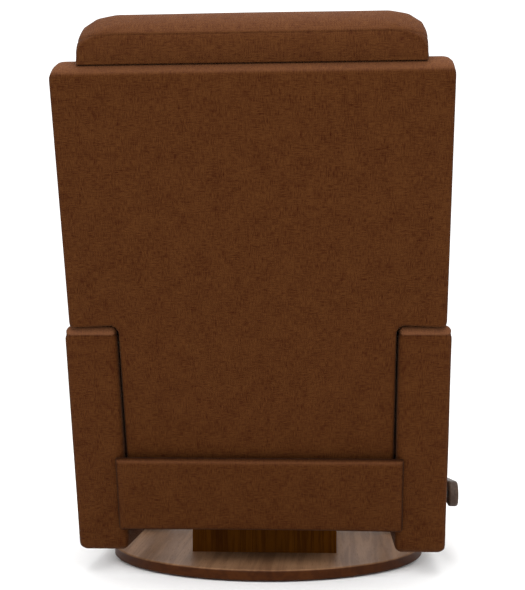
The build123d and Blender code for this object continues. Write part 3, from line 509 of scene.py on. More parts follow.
def grain_group():
    """Long wood figure with fine pores, running along the first axis of its vector."""
    if "Wood grain" in bpy.data.node_groups:
        return bpy.data.node_groups["Wood grain"]
    group, given, out = new_group(
        "Wood grain",
        [("Vector", "NodeSocketVector", None), ("Figure width", "NodeSocketFloat", 0.03)],
        [("Figure", "NodeSocketFloat"), ("Pores", "NodeSocketFloat"), ("Height", "NodeSocketFloat")],
    )
    scaled = group.nodes.new("ShaderNodeVectorMath")
    scaled.operation = "DIVIDE"
    group.links.new(given["Vector"], scaled.inputs[0])
    group.links.new(given["Figure width"], scaled.inputs[1])
    long_way = stretched(group, scaled.outputs[0], (0.045, 1.0, 1.0))
    bands = noise(group, long_way, detail=4.0, rough=0.55, warp=0.25)
    rings = math_node(group, "SINE", math_node(group, "MULTIPLY", bands, 34.0))
    rings = math_node(group, "MULTIPLY_ADD", rings, 0.22, 0.5)
    broad = noise(group, stretched(group, scaled.outputs[0], (0.05, 0.5, 0.5)))
    figure = math_node(group, "MULTIPLY_ADD", math_node(group, "SUBTRACT", broad, 0.5), 0.9, rings)
    fine = noise(group, stretched(group, given["Vector"], (26.0, 760.0, 760.0)), rough=0.6)
    pores = node(group, "ShaderNodeMapRange", From_Min=0.58, From_Max=0.72)
    group.links.new(fine, pores.inputs["Value"])
    figure = math_node(group, "MULTIPLY_ADD", math_node(group, "SUBTRACT", fine, 0.5), 0.7, figure)
    clamp = group.nodes.new("ShaderNodeClamp")
    group.links.new(figure, clamp.inputs[0])
    group.links.new(clamp.outputs[0], out["Figure"])
    group.links.new(pores.outputs["Result"], out["Pores"])
    group.links.new(math_node(group, "MULTIPLY_ADD", pores.outputs["Result"], -1.0, fine), out["Height"])
    return group


def speckle_group():
    """Fine uneven skin of a coated or drawn metal: a mask and its height."""
    if "Fine skin" in bpy.data.node_groups:
        return bpy.data.node_groups["Fine skin"]
    group, given, out = new_group(
        "Fine skin",
        [("Vector", "NodeSocketVector", None), ("Grain", "NodeSocketFloat", 900.0)],
        [("Mask", "NodeSocketFloat"), ("Height", "NodeSocketFloat")],
    )
    fine = group.nodes.new("ShaderNodeTexNoise")
    fine.inputs["Detail"].default_value = 3.0
    group.links.new(given["Vector"], fine.inputs["Vector"])
    group.links.new(given["Grain"], fine.inputs["Scale"])
    broad = noise(group, given["Vector"], scale=18.0, detail=3.0)
    centred = math_node(group, "SUBTRACT", fine.outputs["Fac"], 0.5)
    mixed = math_node(group, "MULTIPLY_ADD", centred, 0.5, broad)
    group.links.new(mixed, out["Mask"])
    group.links.new(fine.outputs["Fac"], out["Height"])
    return group


def start_material(name):
    made = bpy.data.materials.get(name)
    if made:
        return made, None, None
    made = bpy.data.materials.new(name)
    made.use_nodes = True
    return made, made.node_tree, made.node_tree.nodes["Principled BSDF"]


def ramp_between(tree, mask, dark, light):
    made = tree.nodes.new("ShaderNodeValToRGB")
    made.color_ramp.elements[0].color = (*dark, 1.0)
    made.color_ramp.elements[1].color = (*light, 1.0)
    tree.links.new(mask, made.inputs[0])
    return made.outputs["Color"]


def mix_colours(tree, blend, share, first, second):
    """Blends two colours by a share, each a socket or a value."""
    made = node(tree, "ShaderNodeMix", data_type="RGBA", blend_type=blend)
    for number, value in zip((0, 6, 7), (share, first, second)):
        if isinstance(value, bpy.types.NodeSocket):
            tree.links.new(value, made.inputs[number])
        else:
            made.inputs[number].default_value = value
    return made.outputs[2]


def set_roughness(tree, shader, mask, change, start):
    """Roughness that starts at one value and changes with a mask."""
    tree.links.new(math_node(tree, "MULTIPLY_ADD", mask, change, start), shader.inputs["Roughness"])


def set_bump(tree, shader, height, strength, distance):
    bump = node(tree, "ShaderNodeBump", Strength=strength, Distance=distance)
    tree.links.new(height, bump.inputs["Height"])
    tree.links.new(bump.outputs["Normal"], shader.inputs["Normal"])


# What the painted shade along seams, the pores and the darker rim leave of the colour under them
SEAM_SHADE = (0.32, 0.27, 0.22, 1.0)
PORE_SHADE = (0.55, 0.48, 0.42, 1.0)
RIM_DARKENING = (0.20, 0.10, 0.03, 1.0)


def cover_finish():
    """Brown woven cover, with painted shade along its seams and a painted highlight on lit tops and edges."""
    made, tree, shader = start_material("woven_cover")
    if tree is None:
        return made
    look = colours()
    place = node(tree, "ShaderNodeUVMap", uv_map="weave")
    weave = node(tree, "ShaderNodeGroup", node_tree=weave_group())
    weave.inputs["Pitch"].default_value = look.thread_pitch
    tree.links.new(place.outputs["UV"], weave.inputs["Vector"])
    yarn = ramp_between(tree, weave.outputs["Shade"], look.cover_dark, look.cover_light)
    seam = node(tree, "ShaderNodeAttribute", attribute_name="seam")
    painted_highlight = node(tree, "ShaderNodeAttribute", attribute_name="painted_highlight")
    # Painted highlight: yarn made paler where points are marked as lit
    yarn_plus_highlight = mix_colours(tree, "ADD", 1.0, yarn, (*look.cover_highlight, 1.0))
    paler = mix_colours(tree, "MIX", painted_highlight.outputs["Fac"], yarn, yarn_plus_highlight)
    # Painted shade along the seams
    shaded = mix_colours(tree, "MULTIPLY", seam.outputs["Fac"], paler, SEAM_SHADE)
    tree.links.new(shaded, shader.inputs["Base Color"])
    set_roughness(tree, shader, weave.outputs["Shade"], change=-0.12, start=0.95)
    shader.inputs["Sheen Weight"].default_value = 0.03
    shader.inputs["Sheen Roughness"].default_value = 0.3
    shader.inputs["Sheen Tint"].default_value = (0.80, 0.66, 0.55, 1.0)
    shader.inputs["Specular IOR Level"].default_value = 0.06
    set_bump(tree, shader, weave.outputs["Height"], strength=0.35, distance=0.0012)
    return made


def wood_finish(name, dark, light, turn, figure_width, rough, shine, bump, edge=None):
    """Wood with its grain along the first axis after a turn, darker below the height edge."""
    made, tree, shader = start_material(name)
    if tree is None:
        return made
    place = tree.nodes.new("ShaderNodeTexCoord")
    turned = stretched(tree, place.outputs["Object"], (1, 1, 1), turn)
    grain = node(tree, "ShaderNodeGroup", node_tree=grain_group())
    grain.inputs["Figure width"].default_value = figure_width
    tree.links.new(turned, grain.inputs["Vector"])
    figure = ramp_between(tree, grain.outputs["Figure"], dark, light)
    colour = mix_colours(tree, "MULTIPLY", grain.outputs["Pores"], figure, PORE_SHADE)
    if edge is not None:
        split = tree.nodes.new("ShaderNodeSeparateXYZ")
        tree.links.new(place.outputs["Object"], split.inputs[0])
        # The disc's rim made darker below its top edge
        darken_start, darken_full = 0.0006, 0.0030
        below = node(tree, "ShaderNodeMapRange", From_Min=edge - darken_start, From_Max=edge - darken_full)
        tree.links.new(split.outputs[2], below.inputs["Value"])
        colour = mix_colours(tree, "MULTIPLY", below.outputs["Result"], colour, RIM_DARKENING)
    tree.links.new(colour, shader.inputs["Base Color"])
    set_roughness(tree, shader, grain.outputs["Pores"], change=0.2, start=rough)
    shader.inputs["Specular IOR Level"].default_value = shine
    set_bump(tree, shader, grain.outputs["Height"], strength=bump, distance=0.0004)
    return made


def skin_finish(name, dark, light, rough, metal, grain, bump, shine=0.5):
    """Metal, nylon or other hard finish with a fine uneven skin."""
    made, tree, shader = start_material(name)
    if tree is None:
        return made
    place = tree.nodes.new("ShaderNodeTexCoord")
    skin = node(tree, "ShaderNodeGroup", node_tree=speckle_group())
    skin.inputs["Grain"].default_value = grain
    tree.links.new(place.outputs["Object"], skin.inputs["Vector"])
    tree.links.new(ramp_between(tree, skin.outputs["Mask"], dark, light), shader.inputs["Base Color"])
    set_roughness(tree, shader, skin.outputs["Mask"], change=0.25, start=rough)
    shader.inputs["Metallic"].default_value = metal
    shader.inputs["Specular IOR Level"].default_value = shine
    set_bump(tree, shader, skin.outputs["Height"], strength=bump, distance=0.0003)
    return made


def deck_finish():
    """Black cambric under the seat cushion."""
    made, tree, shader = start_material("deck_cloth")
    if tree is None:
        return made
    place = node(tree, "ShaderNodeUVMap", uv_map="weave")
    weave = node(tree, "ShaderNodeGroup", node_tree=weave_group())
    weave.inputs["Pitch"].default_value = 0.0018
    tree.links.new(place.outputs["UV"], weave.inputs["Vector"])
    dark, light = (0.012, 0.011, 0.010), (0.045, 0.042, 0.040)
    yarn = ramp_between(tree, weave.outputs["Shade"], dark, light)
    tree.links.new(yarn, shader.inputs["Base Color"])
    set_roughness(tree, shader, weave.outputs["Shade"], change=-0.1, start=0.95)
    set_bump(tree, shader, weave.outputs["Height"], strength=0.3, distance=0.0008)
    return made


GRAIN_UP = (0.0, math.radians(90), 0.0)
GRAIN_BACK = (0.0, 0.0, math.radians(-90))
GRAIN_ACROSS = (0.0, 0.0, 0.0)

HARD_SKINS = {
    "nylon": dict(
        dark=(0.018, 0.018, 0.019), light=(0.032, 0.032, 0.034), rough=0.38, metal=0.0, grain=1400.0, bump=0.1
    ),
    "black_steel": dict(
        dark=(0.010, 0.010, 0.010), light=(0.022, 0.021, 0.020), rough=0.42, metal=0.0, grain=1100.0,
        bump=0.25, shine=0.12,
    ),
    "brown_steel": dict(
        dark=(0.009, 0.0020, 0.0004), light=(0.015, 0.0040, 0.0010), rough=0.50, metal=0.0, grain=1100.0,
        bump=0.25, shine=0.04,
    ),
    "bright_steel": dict(
        dark=(0.52, 0.52, 0.50), light=(0.66, 0.66, 0.64), rough=0.22, metal=1.0, grain=700.0, bump=0.08
    ),
    "spring_steel": dict(
        dark=(0.20, 0.19, 0.18), light=(0.34, 0.33, 0.31), rough=0.32, metal=1.0, grain=500.0, bump=0.1
    ),
}

NODE_FINISHES = {
    "walnut_disc": ("base_disc",),
    "walnut_upright": ("pedestal_boards", "pedestal_cap"),
    "walnut_handle": ("lever_handle",),
    "plywood_upright": ("arm_frame_left", "arm_frame_right"),
    "plywood_across": ("seat_rail_rear", "back_rails"),
    "stained_upright": ("back_stiles", "wing_boards"),
    "stained_across": ("seat_rail_front", "footrest_board"),
    "nylon": ("base_glides", "swivel_cage", "lever_bush"),
    "black_steel": (
        "swivel_lower_plate", "swivel_upper_plate", "glider_channels", "glider_uprights", "front_glide_links",
        "rear_glide_links", "carriage_rails", "carriage_risers", "cross_tubes", "front_swing_links",
        "rear_swing_links", "drive_tube", "carrier_bars", "tilt_links", "footrest_brackets", "lever_crank",
        "lever_shaft", "pull_link", "back_brackets",
    ),
    "brown_steel": ("side_plate_left", "side_plate_right"),
    "bright_steel": (
        "base_screws", "swivel_pivot", "swivel_balls", "glider_upper_pins", "glider_lower_pins",
        "mechanism_pins", "mechanism_bolts", "spring_clips", "swing_link_pins", "carrier_pins",
        "footrest_pins", "lever_screw",
    ),
    "spring_steel": ("seat_springs", "back_springs"),
}


class RECLINER_OT_frame_finishes(bpy.types.Operator):
    """Give wood, steel and nylon finishes to the frame"""

    bl_idname = "recliner.frame_finishes"
    bl_label = "Frame finishes"

    def execute(self, context):
        look = colours()
        wood_finish(
            "walnut_disc", look.walnut_dark, look.walnut_light, GRAIN_BACK, figure_width=0.045, rough=0.50,
            shine=0.06, bump=0.15, edge=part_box("base_disc")[1].z,
        )
        wood_finish(
            "walnut_upright", look.pedestal_dark, look.pedestal_light, GRAIN_UP, figure_width=0.022,
            rough=0.55, shine=0.02, bump=0.15,
        )
        wood_finish(
            "walnut_handle", look.handle_dark, look.handle_light, GRAIN_BACK, figure_width=0.012, rough=0.45,
            shine=0.15, bump=0.12,
        )
        for run, turn in (("upright", GRAIN_UP), ("across", GRAIN_ACROSS)):
            wood_finish(
                f"plywood_{run}", look.ply_dark, look.ply_light, turn, figure_width=0.05, rough=0.60,
                shine=0.3, bump=0.2,
            )
            wood_finish(
                f"stained_{run}", look.stain_dark, look.stain_light, turn, figure_width=0.05, rough=0.60,
                shine=0.2, bump=0.2,
            )
        for name, skin in HARD_SKINS.items():
            skin_finish(name, **skin)
        for name, members in NODE_FINISHES.items():
            for member in members:
                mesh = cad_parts[member].data
                mesh.materials.clear()
                mesh.materials.append(bpy.data.materials[name])
        return {"FINISHED"}


def select_faces(obj, wanted):
    """Selects the faces whose centre and normal pass a test, in face mode."""
    take(obj)
    bpy.ops.object.mode_set(mode="EDIT")
    bpy.ops.mesh.select_mode(type="FACE")
    bpy.ops.mesh.select_all(action="DESELECT")
    bpy.ops.object.mode_set(mode="OBJECT")
    for face in obj.data.polygons:
        face.select = bool(wanted(face.center, face.normal))
    bpy.ops.object.mode_set(mode="EDIT")


def near(value, target, tolerance=1e-4):
    return abs(value - target) < tolerance


def dome_height(out, high):
    """Height of the back's domed top at a distance out from its rear face."""
    size = sizes()
    radius = (size.dome_crest**2 + size.dome_drop**2) / (2 * size.dome_drop)
    return high - radius + np.sqrt(radius**2 - (size.dome_crest - np.clip(out, 0, 2 * size.dome_crest)) ** 2)


def wing_fall(spots, column, wing, wing_low):
    """How far each point of the outside back falls, so that the wings hang at their lower rear corners."""
    size = sizes()
    clear_of_ends = 0.012
    rear_fade = 0.018
    inner_share = 0.25
    span = wing - column - 2 * clear_of_ends
    outward = np.clip((np.abs(spots[:, 0]) - column - clear_of_ends) / span, 0, 1)
    low_part = np.clip((wing_low + size.wing_sag_height - spots[:, 1]) / size.wing_sag_height, 0, 1)
    rear_part = np.clip((size.wing_sag_depth - spots[:, 2]) / rear_fade, 0, 1)
    share = np.where(outward > 0, inner_share + (1 - inner_share) * outward, 0)
    return size.wing_sag * low_part * rear_part * share


class RECLINER_OT_outside_back(bpy.types.Operator):
    """Build the taut outside back with its wings"""

    bl_idname = "recliner.outside_back"
    bl_label = "Outside back"

    def execute(self, context):
        size = sizes()
        to_frame = back_matrix()
        panel = node_points("back_outer_panel", to_frame)
        rim = node_points("back_border", to_frame)
        low, high = panel[:, 1].min(), rim[:, 1].max()
        foot_zone, clear_of_column, square_on = 0.1, 0.02, 0.9
        wing = panel[:, 0].max() + size.back_proud
        column = panel[panel[:, 1] < low + foot_zone][:, 0].max() + size.back_proud
        wing_low = rim[rim[:, 0] > column + clear_of_column][:, 1].min() - 2 * size.back_proud
        depth, panel_front = rim[:, 2].max(), panel[:, 2].max()
        obj = new_cube("outside_back", (-column, low, 0), (column, high, depth))
        bpy.ops.object.mode_set(mode="EDIT")
        bpy.ops.mesh.select_all(action="SELECT")
        bpy.ops.mesh.bisect(plane_co=(0, wing_low, 0), plane_no=(0, 1, 0))
        for side in (-1, 1):
            select_faces(obj, lambda c, n: side * n.x > square_on and c.y > wing_low)
            bpy.ops.mesh.extrude_region_move(TRANSFORM_OT_translate={"value": (side * (wing - column), 0, 0)})
        bpy.ops.mesh.select_all(action="SELECT")
        bpy.ops.mesh.dissolve_limited(angle_limit=math.radians(1))

        def runs_through(a, b, x, y):
            return near(a.x, b.x) and near(a.y, b.y) and near(abs(a.x), x) and near(a.y, y)

        round_edges(obj, lambda a, b: runs_through(a, b, wing, high), size.back_corner, segments=5)
        round_edges(obj, lambda a, b: runs_through(a, b, column, wing_low), size.back_notch, segments=5)
        round_edges(obj, lambda a, b: near(a.z, 0) and near(b.z, 0), size.back_edge, segments=5)
        round_edges(obj, lambda a, b: near(a.z, depth) and near(b.z, depth), size.back_rim, segments=3)
        remesh(obj, size.taut_step)
        spots = points_of(obj)
        start = high - size.dome_reach
        share = np.clip((spots[:, 1] - start) / (high - start), 0, None)
        domed = start + share * (dome_height(spots[:, 2], high) - start)
        spots[:, 1] = np.where(share > 0, domed, spots[:, 1])
        spots[:, 1] -= wing_fall(spots, column, wing, wing_low)
        set_points(obj, spots)
        edges = rounding(obj, [(0, 0, -1)])
        puff(obj, size.pad_puff, held=lambda p: edges, frames=TAUT_FRAMES)
        wall = size.back_wall
        hollow_low = (wall - column, low + wall, panel_front)
        hollow_high = (column - wall, high - wall, 2 * depth)
        hollow = new_cube("back_hollow", hollow_low, hollow_high)
        cut = obj.modifiers.new("hollow", "BOOLEAN")
        cut.operation = "DIFFERENCE"
        cut.object = hollow
        apply_modifier(obj, cut.name)
        bpy.data.objects.remove(hollow)
        # Painted highlight on the band above the domed top's rear edge, where light from above falls
        highlight_most, highlight_lap, highlight_fade = 0.66, 0.003, 0.004
        above_edge = points_of(obj)[:, 1] - dome_height(0.0, high) + highlight_lap
        mark(obj, "painted_highlight", highlight_most * np.clip(above_edge / highlight_fade, 0, 1))
        lay_weave(obj, WEAVE_ON_BACK)
        obj.data.transform(to_frame)
        dress(obj, cover_finish(), "back", "upholstery", "back_outer_panel", "back_border")
        return {"FINISHED"}


class RECLINER_OT_arm_covers(bpy.types.Operator):
    """Build the two padded arm covers"""

    bl_idname = "recliner.arm_covers"
    bl_label = "Arm covers"

    def execute(self, context):
        size = sizes()
        low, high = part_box("arm_cover_left")
        low.z -= size.arm_proud
        high.x += size.arm_proud
        slope, lean = math.tan(size.arm_slope), math.tan(size.arm_lean)
        rear_top = (size.arm_front_top - (size.arm_rear - low.z * lean - low.y) * slope) / (1 + lean * slope)
        rear_y = size.arm_rear + (rear_top - low.z) * lean
        obj = new_cube("arm_upholstery_left", low, high)
        middle = (low + high) / 2
        for vertex in obj.data.vertices:
            front = vertex.co.y < middle.y
            top = vertex.co.z > middle.z
            vertex.co.y = low.y if front else (rear_y if top else size.arm_rear)
            vertex.co.z = low.z if not top else (size.arm_front_top if front else rear_top)
        corners = (
            (low.y, size.arm_front_top, size.arm_front_corner, 5),
            (rear_y, rear_top, size.arm_facet, 1),
            (low.y, low.z, size.arm_low_corner, 5),
            (size.arm_rear, low.z, size.arm_low_corner, 5),
        )
        for y, z, radius, steps in corners:
            round_edges(
                obj,
                lambda a, b: near(a.y, y) and near(b.y, y) and near(a.z, z) and near(b.z, z),
                radius,
                steps,
            )
        round_edges(
            obj,
            lambda a, b: near(a.x, b.x) and (near(a.x, low.x) or near(a.x, high.x)),
            size.arm_edge,
            segments=4,
        )
        remesh(obj, size.taut_step)
        top_facing = (0, math.sin(size.arm_slope), math.cos(size.arm_slope))
        rear_facing = (0, math.cos(size.arm_lean), -math.sin(size.arm_lean))
        edges = rounding(obj, [(1, 0, 0), (0, -1, 0), top_facing, rear_facing])
        puff(obj, size.pad_puff, held=lambda p: edges, frames=TAUT_FRAMES)
        room_below, room_beside, flat_rear = 0.004, 0.003, 0.30
        keep_inside(obj, (low.x, -1, low.z - room_below), (high.x + room_beside, 1, 1))
        spots = points_of(obj)
        crown = np.where(spots[:, 1] > flat_rear, 0.0, size.arm_crown)
        spots[:, 2] = np.minimum(spots[:, 2], size.arm_front_top - (spots[:, 1] - low.y) * slope + crown)
        set_points(obj, spots)
        smooth(obj)
        rear_zone, side_zone, front_zone, facet_zone, highlight_fade = 0.016, 0.004, 0.012, 0.030, 0.006
        spots = points_of(obj)
        below_top = size.arm_front_top - (spots[:, 1] - low.y) * slope - spots[:, 2]
        rear = size.arm_rear + (spots[:, 2] - low.z) * lean
        from_sides = np.minimum(spots[:, 0] - low.x, high.x - spots[:, 0])
        across_rear = np.where(spots[:, 1] > rear - rear_zone, np.abs(below_top - size.facet_seam), FAR)
        along_sides = np.where(from_sides < side_zone, np.abs(below_top - size.side_seam), FAR)
        at_front = spots[:, 1] < low.y + front_zone
        across_front = np.where(at_front, np.abs(below_top - size.arm_front_corner), FAR)
        sew(obj, [across_rear, along_sides, across_front], depth=0.0015, width=0.004, shade=0.5)
        # Painted highlight on the facet at each arm's rear top, lit although the wing above shades it
        facet = (spots[:, 1] > rear - facet_zone) & (below_top < size.facet_seam)
        outer_fade = np.clip((high.x - spots[:, 0]) / highlight_fade, 0, 1)
        inner_fade = np.clip((spots[:, 0] - low.x) / highlight_fade, 0, 1)
        mark(obj, "painted_highlight", facet * outer_fade * inner_fade)
        lay_weave(obj)
        other = obj.copy()
        other.data = obj.data.copy()
        other.name = "arm_upholstery_right"
        context.scene.collection.objects.link(other)
        other.data.transform(Matrix.Scale(-1, 4, (1, 0, 0)))
        other.data.flip_normals()
        for piece, stands_for in ((obj, "arm_cover_left"), (other, "arm_cover_right")):
            dress(piece, cover_finish(), "chair", "upholstery", stands_for)
        return {"FINISHED"}


class RECLINER_OT_valance(bpy.types.Operator):
    """Build the flat rear valance that laps over both arms"""

    bl_idname = "recliner.valance"
    bl_label = "Rear valance"

    def execute(self, context):
        size = sizes()
        lean = size.arm_lean
        up = Vector((0, math.sin(lean), math.cos(lean)))
        out = Vector((0, math.cos(lean), -math.sin(lean)))
        to_frame = Matrix((Vector((-1, 0, 0)), up, out)).transposed().to_4x4()
        to_frame = Matrix.Translation((0, size.arm_rear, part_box("arm_cover_left")[0].z)) @ to_frame
        spots = node_points("rear_valance", to_frame)
        low, high = spots.min(axis=0), spots.max(axis=0)
        obj = new_cube("valance_cover", low, high)
        round_edges(obj, lambda a, b: not near(a.z, b.z), size.valance_corner, segments=3)
        rear = high[2]
        round_edges(obj, lambda a, b: near(a.z, rear) and near(b.z, rear), size.valance_edge, segments=3)
        remesh(obj, size.valance_step)
        puff(obj, size.valance_puff, held=lambda p: p[:, 2] < REST_ZONE, frames=TAUT_FRAMES)
        spots = points_of(obj)
        inset = np.minimum(spots[:, :2] - low[:2], high[:2] - spots[:, :2]).min(axis=1)
        # Painted shadow: a dark line round the valance's edges, with no pull, for the gap where it laps the
        # arms
        sew(obj, [np.abs(inset)], depth=0.0, width=0.008)
        # Painted highlight in a line just under the valance's top edge
        highlight_most, highlight_line, highlight_width = 0.44, 0.0065, 0.003
        from_top = high[1] - spots[:, 1]
        mark(obj, "painted_highlight", highlight_most * np.exp(-(((from_top - highlight_line) / highlight_width) ** 2)))
        lay_weave(obj, WEAVE_ON_BACK)
        obj.data.transform(to_frame)
        dress(obj, cover_finish(), "chair", "upholstery", "rear_valance")
        return {"FINISHED"}


def draw_in(obj, amount, held):
    """Starts a cushion slightly small, apart from the faces it rests on, before it swells."""
    spots = points_of(obj)
    share = np.where(held(spots), 0.0, amount)
    set_points(obj, spots - normals_of(obj) * share[:, None])


def boxing(obj, axis, steepest=0.80):
    """Tells which points lie on a cushion's sides: those that look little along the axis of its thickness."""
    return np.abs(normals_of(obj)[:, axis]) < steepest


class RECLINER_OT_seat_cushion(bpy.types.Operator):
    """Fill the boxed seat cushion"""

    bl_idname = "recliner.seat_cushion"
    bl_label = "Seat cushion"

    def execute(self, context):
        size = sizes()
        low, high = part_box("seat_cushion")
        obj = copy_of_node("seat_cushion", "seat_filling")
        remesh(obj, size.cushion_step)

        def resting(p):
            return p[:, 2] < low.z + REST_ZONE

        draw_in(obj, CUSHION_DRAW, resting)
        puff(obj, size.seat_puff, held=resting)
        beside, before, behind = 0.003, 0.010, 0.002
        keep_inside(obj, (low.x - beside, low.y - before, low.z), (high.x + beside, high.y + behind, 1))
        smooth(obj)
        height = points_of(obj)[:, 2] - low.z
        side = boxing(obj, axis=2)
        upper = np.where(side, np.abs(height - size.seat_upper_seam), FAR)
        lower = np.where(side, np.abs(height - size.seat_lower_seam), FAR)
        sew(obj, [upper, lower])
        lay_weave(obj)
        dress(obj, cover_finish(), "chair", "upholstery", "seat_cushion")
        return {"FINISHED"}


class RECLINER_OT_back_cushion(bpy.types.Operator):
    """Fill the inside back cushion"""

    bl_idname = "recliner.back_cushion"
    bl_label = "Back cushion"

    def execute(self, context):
        size = sizes()
        to_frame = back_matrix()
        obj = copy_of_node("back_cushion", "back_filling")
        obj.data.transform(to_frame.inverted())
        low, high = points_of(obj).min(axis=0), points_of(obj).max(axis=0)
        remesh(obj, size.cushion_step)
        top_zone = 0.004

        def resting(p):
            return (p[:, 2] < low[2] + REST_ZONE) | (p[:, 1] > high[1] - top_zone)

        draw_in(obj, CUSHION_DRAW, resting)
        arm_gap, foot_top, foot_fade, foot_middle, foot_room = 0.0006, 0.080, 0.010, 0.060, 0.075
        between_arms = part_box("arm_cover_left")[0].x - arm_gap
        spots = points_of(obj)
        foot = np.clip((foot_top - spots[:, 1]) / foot_fade, 0, 1)
        spots[:, 0] *= 1 + foot * (between_arms / np.abs(spots[spots[:, 1] < foot_middle, 0]).max() - 1)
        set_points(obj, spots)
        puff(obj, size.seat_puff, held=resting)
        beside, below, above = 0.004, 0.004, 0.001
        spots = points_of(obj)
        room = np.where(spots[:, 1] < foot_room, between_arms, high[0] + beside)
        spots[:, 0] = np.clip(spots[:, 0], -room, room)
        spots[:, 1] = np.clip(spots[:, 1], low[1] - below, high[1] + above)
        spots[:, 2] = np.maximum(spots[:, 2], low[2])
        set_points(obj, spots)
        obj.data.transform(to_frame)
        seat_gap, seat_zone = 0.004, 0.50
        spots = points_of(obj)
        clear_of_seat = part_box("seat_cushion")[1].y + seat_gap
        spots[:, 1] = np.where(spots[:, 2] < seat_zone, np.maximum(spots[:, 1], clear_of_seat), spots[:, 1])
        set_points(obj, spots)
        obj.data.transform(to_frame.inverted())
        smooth(obj)
        fold_zone = 0.05
        spots = points_of(obj)
        front = np.where(boxing(obj, axis=2), np.abs(spots[:, 2] - low[2] - size.back_boxing), FAR)
        fold = np.where(spots[:, 2] > low[2] + fold_zone, np.abs(spots[:, 1] - size.back_fold), FAR)
        sew(obj, [front, fold])
        lay_weave(obj, WEAVE_ON_BACK)
        obj.data.transform(to_frame)
        dress(obj, cover_finish(), "back", "upholstery", "back_cushion")
        return {"FINISHED"}


def lean_over(obj, rear, reach):
    """Carries a pillow's rear boxing back over the domed top, its lower edge following the dome."""
    steady_height, height_fade = 0.560, 0.040
    spots = points_of(obj)
    crest = sizes().dome_crest
    share = np.clip((crest - spots[:, 2]) / (crest - rear), 0, 1)
    moved = spots[:, 2] - reach * share
    fall = dome_height(moved, 0.0) - dome_height(spots[:, 2], 0.0)
    spots[:, 1] += fall * np.clip((steady_height - spots[:, 1]) / height_fade, 0, 1) * (share > 0)
    spots[:, 2] = moved
    set_points(obj, spots)


class RECLINER_OT_head_pillow(bpy.types.Operator):
    """Fill the head pillow that hooks over the back"""

    bl_idname = "recliner.head_pillow"
    bl_label = "Head pillow"

    def execute(self, context):
        size = sizes()
        to_frame = back_matrix()
        obj = copy_of_node("head_pillow", "head_filling")
        obj.data.transform(to_frame.inverted())
        low, high = points_of(obj).min(axis=0), points_of(obj).max(axis=0)
        rim = node_points("back_border", to_frame)
        rim_gap = 0.0016
        crest, front = rim[:, 1].max(), rim[:, 2].max() + rim_gap
        remesh(obj, size.pad_step)
        lean_over(obj, low[2], size.pillow_reach)
        low[2] -= size.pillow_reach
        dome_zone, front_zone, foot_zone = 0.006, 0.002, 0.004

        def resting(p):
            under = (p[:, 1] < dome_height(p[:, 2], crest) + dome_zone) & (p[:, 2] < front + front_zone)
            return under | (p[:, 1] < low[1] + foot_zone)

        draw_in(obj, PAD_DRAW, resting)
        puff(obj, size.pillow_puff, held=resting)
        beside, above, rearward, dome_gap = 0.003, 0.006, 0.004, 0.0005
        spots = points_of(obj)
        spots[:, 0] = np.clip(spots[:, 0], low[0] - beside, high[0] + beside)
        spots[:, 1] = np.clip(spots[:, 1], low[1], high[1] + above)
        behind = spots[:, 2] < size.dome_crest
        on_dome = np.maximum(spots[:, 1], dome_height(spots[:, 2], crest) + dome_gap)
        spots[:, 1] = np.where(behind, on_dome, spots[:, 1])
        hanging = ~behind & (spots[:, 1] < crest)
        spots[:, 2] = np.maximum(spots[:, 2], np.where(hanging, front, low[2] - rearward))
        set_points(obj, spots)
        smooth(obj)
        seam_slope, pillow_lift, top_highlight, highlight_fade = 0.62, 0.07, 0.235, 0.004
        spots = points_of(obj)
        above_seam = spots[:, 1] - size.pillow_seam + seam_slope * (spots[:, 2] - low[2])
        sew(obj, [np.abs(above_seam)], depth=0.0010, width=0.004, shade=0.35)
        # Painted light: an even lift over the whole pillow, and a painted highlight on its top above the seam
        mark(obj, "painted_highlight", pillow_lift + top_highlight * np.clip(above_seam / highlight_fade, 0, 1))
        lay_weave(obj, WEAVE_ON_BACK)
        obj.data.transform(to_frame)
        dress(obj, cover_finish(), "back", "upholstery", "head_pillow")
        return {"FINISHED"}


class RECLINER_OT_footrest_pad(bpy.types.Operator):
    """Fill the footrest pad"""

    bl_idname = "recliner.footrest_pad"
    bl_label = "Footrest pad"

    def execute(self, context):
        size = sizes()
        low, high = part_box("footrest_pad")
        obj = copy_of_node("footrest_pad", "footrest_filling")
        remesh(obj, size.pad_step)
        board_zone, room = 0.003, 0.002

        def resting(p):
            return p[:, 1] > high.y - board_zone

        draw_in(obj, PAD_DRAW, resting)
        puff(obj, size.pad_puff, held=resting)
        keep_inside(obj, (low.x - room, -1, low.z - room), (high.x + room, high.y, high.z + room))
        smooth(obj)
        side = boxing(obj, axis=1, steepest=0.85)
        from_board = high.y - points_of(obj)[:, 1]
        sew(obj, [np.where(side, np.abs(from_board - size.pad_boxing), FAR)], depth=0.002)
        lay_weave(obj)
        dress(obj, cover_finish(), "footrest", "upholstery", "footrest_pad")
        return {"FINISHED"}


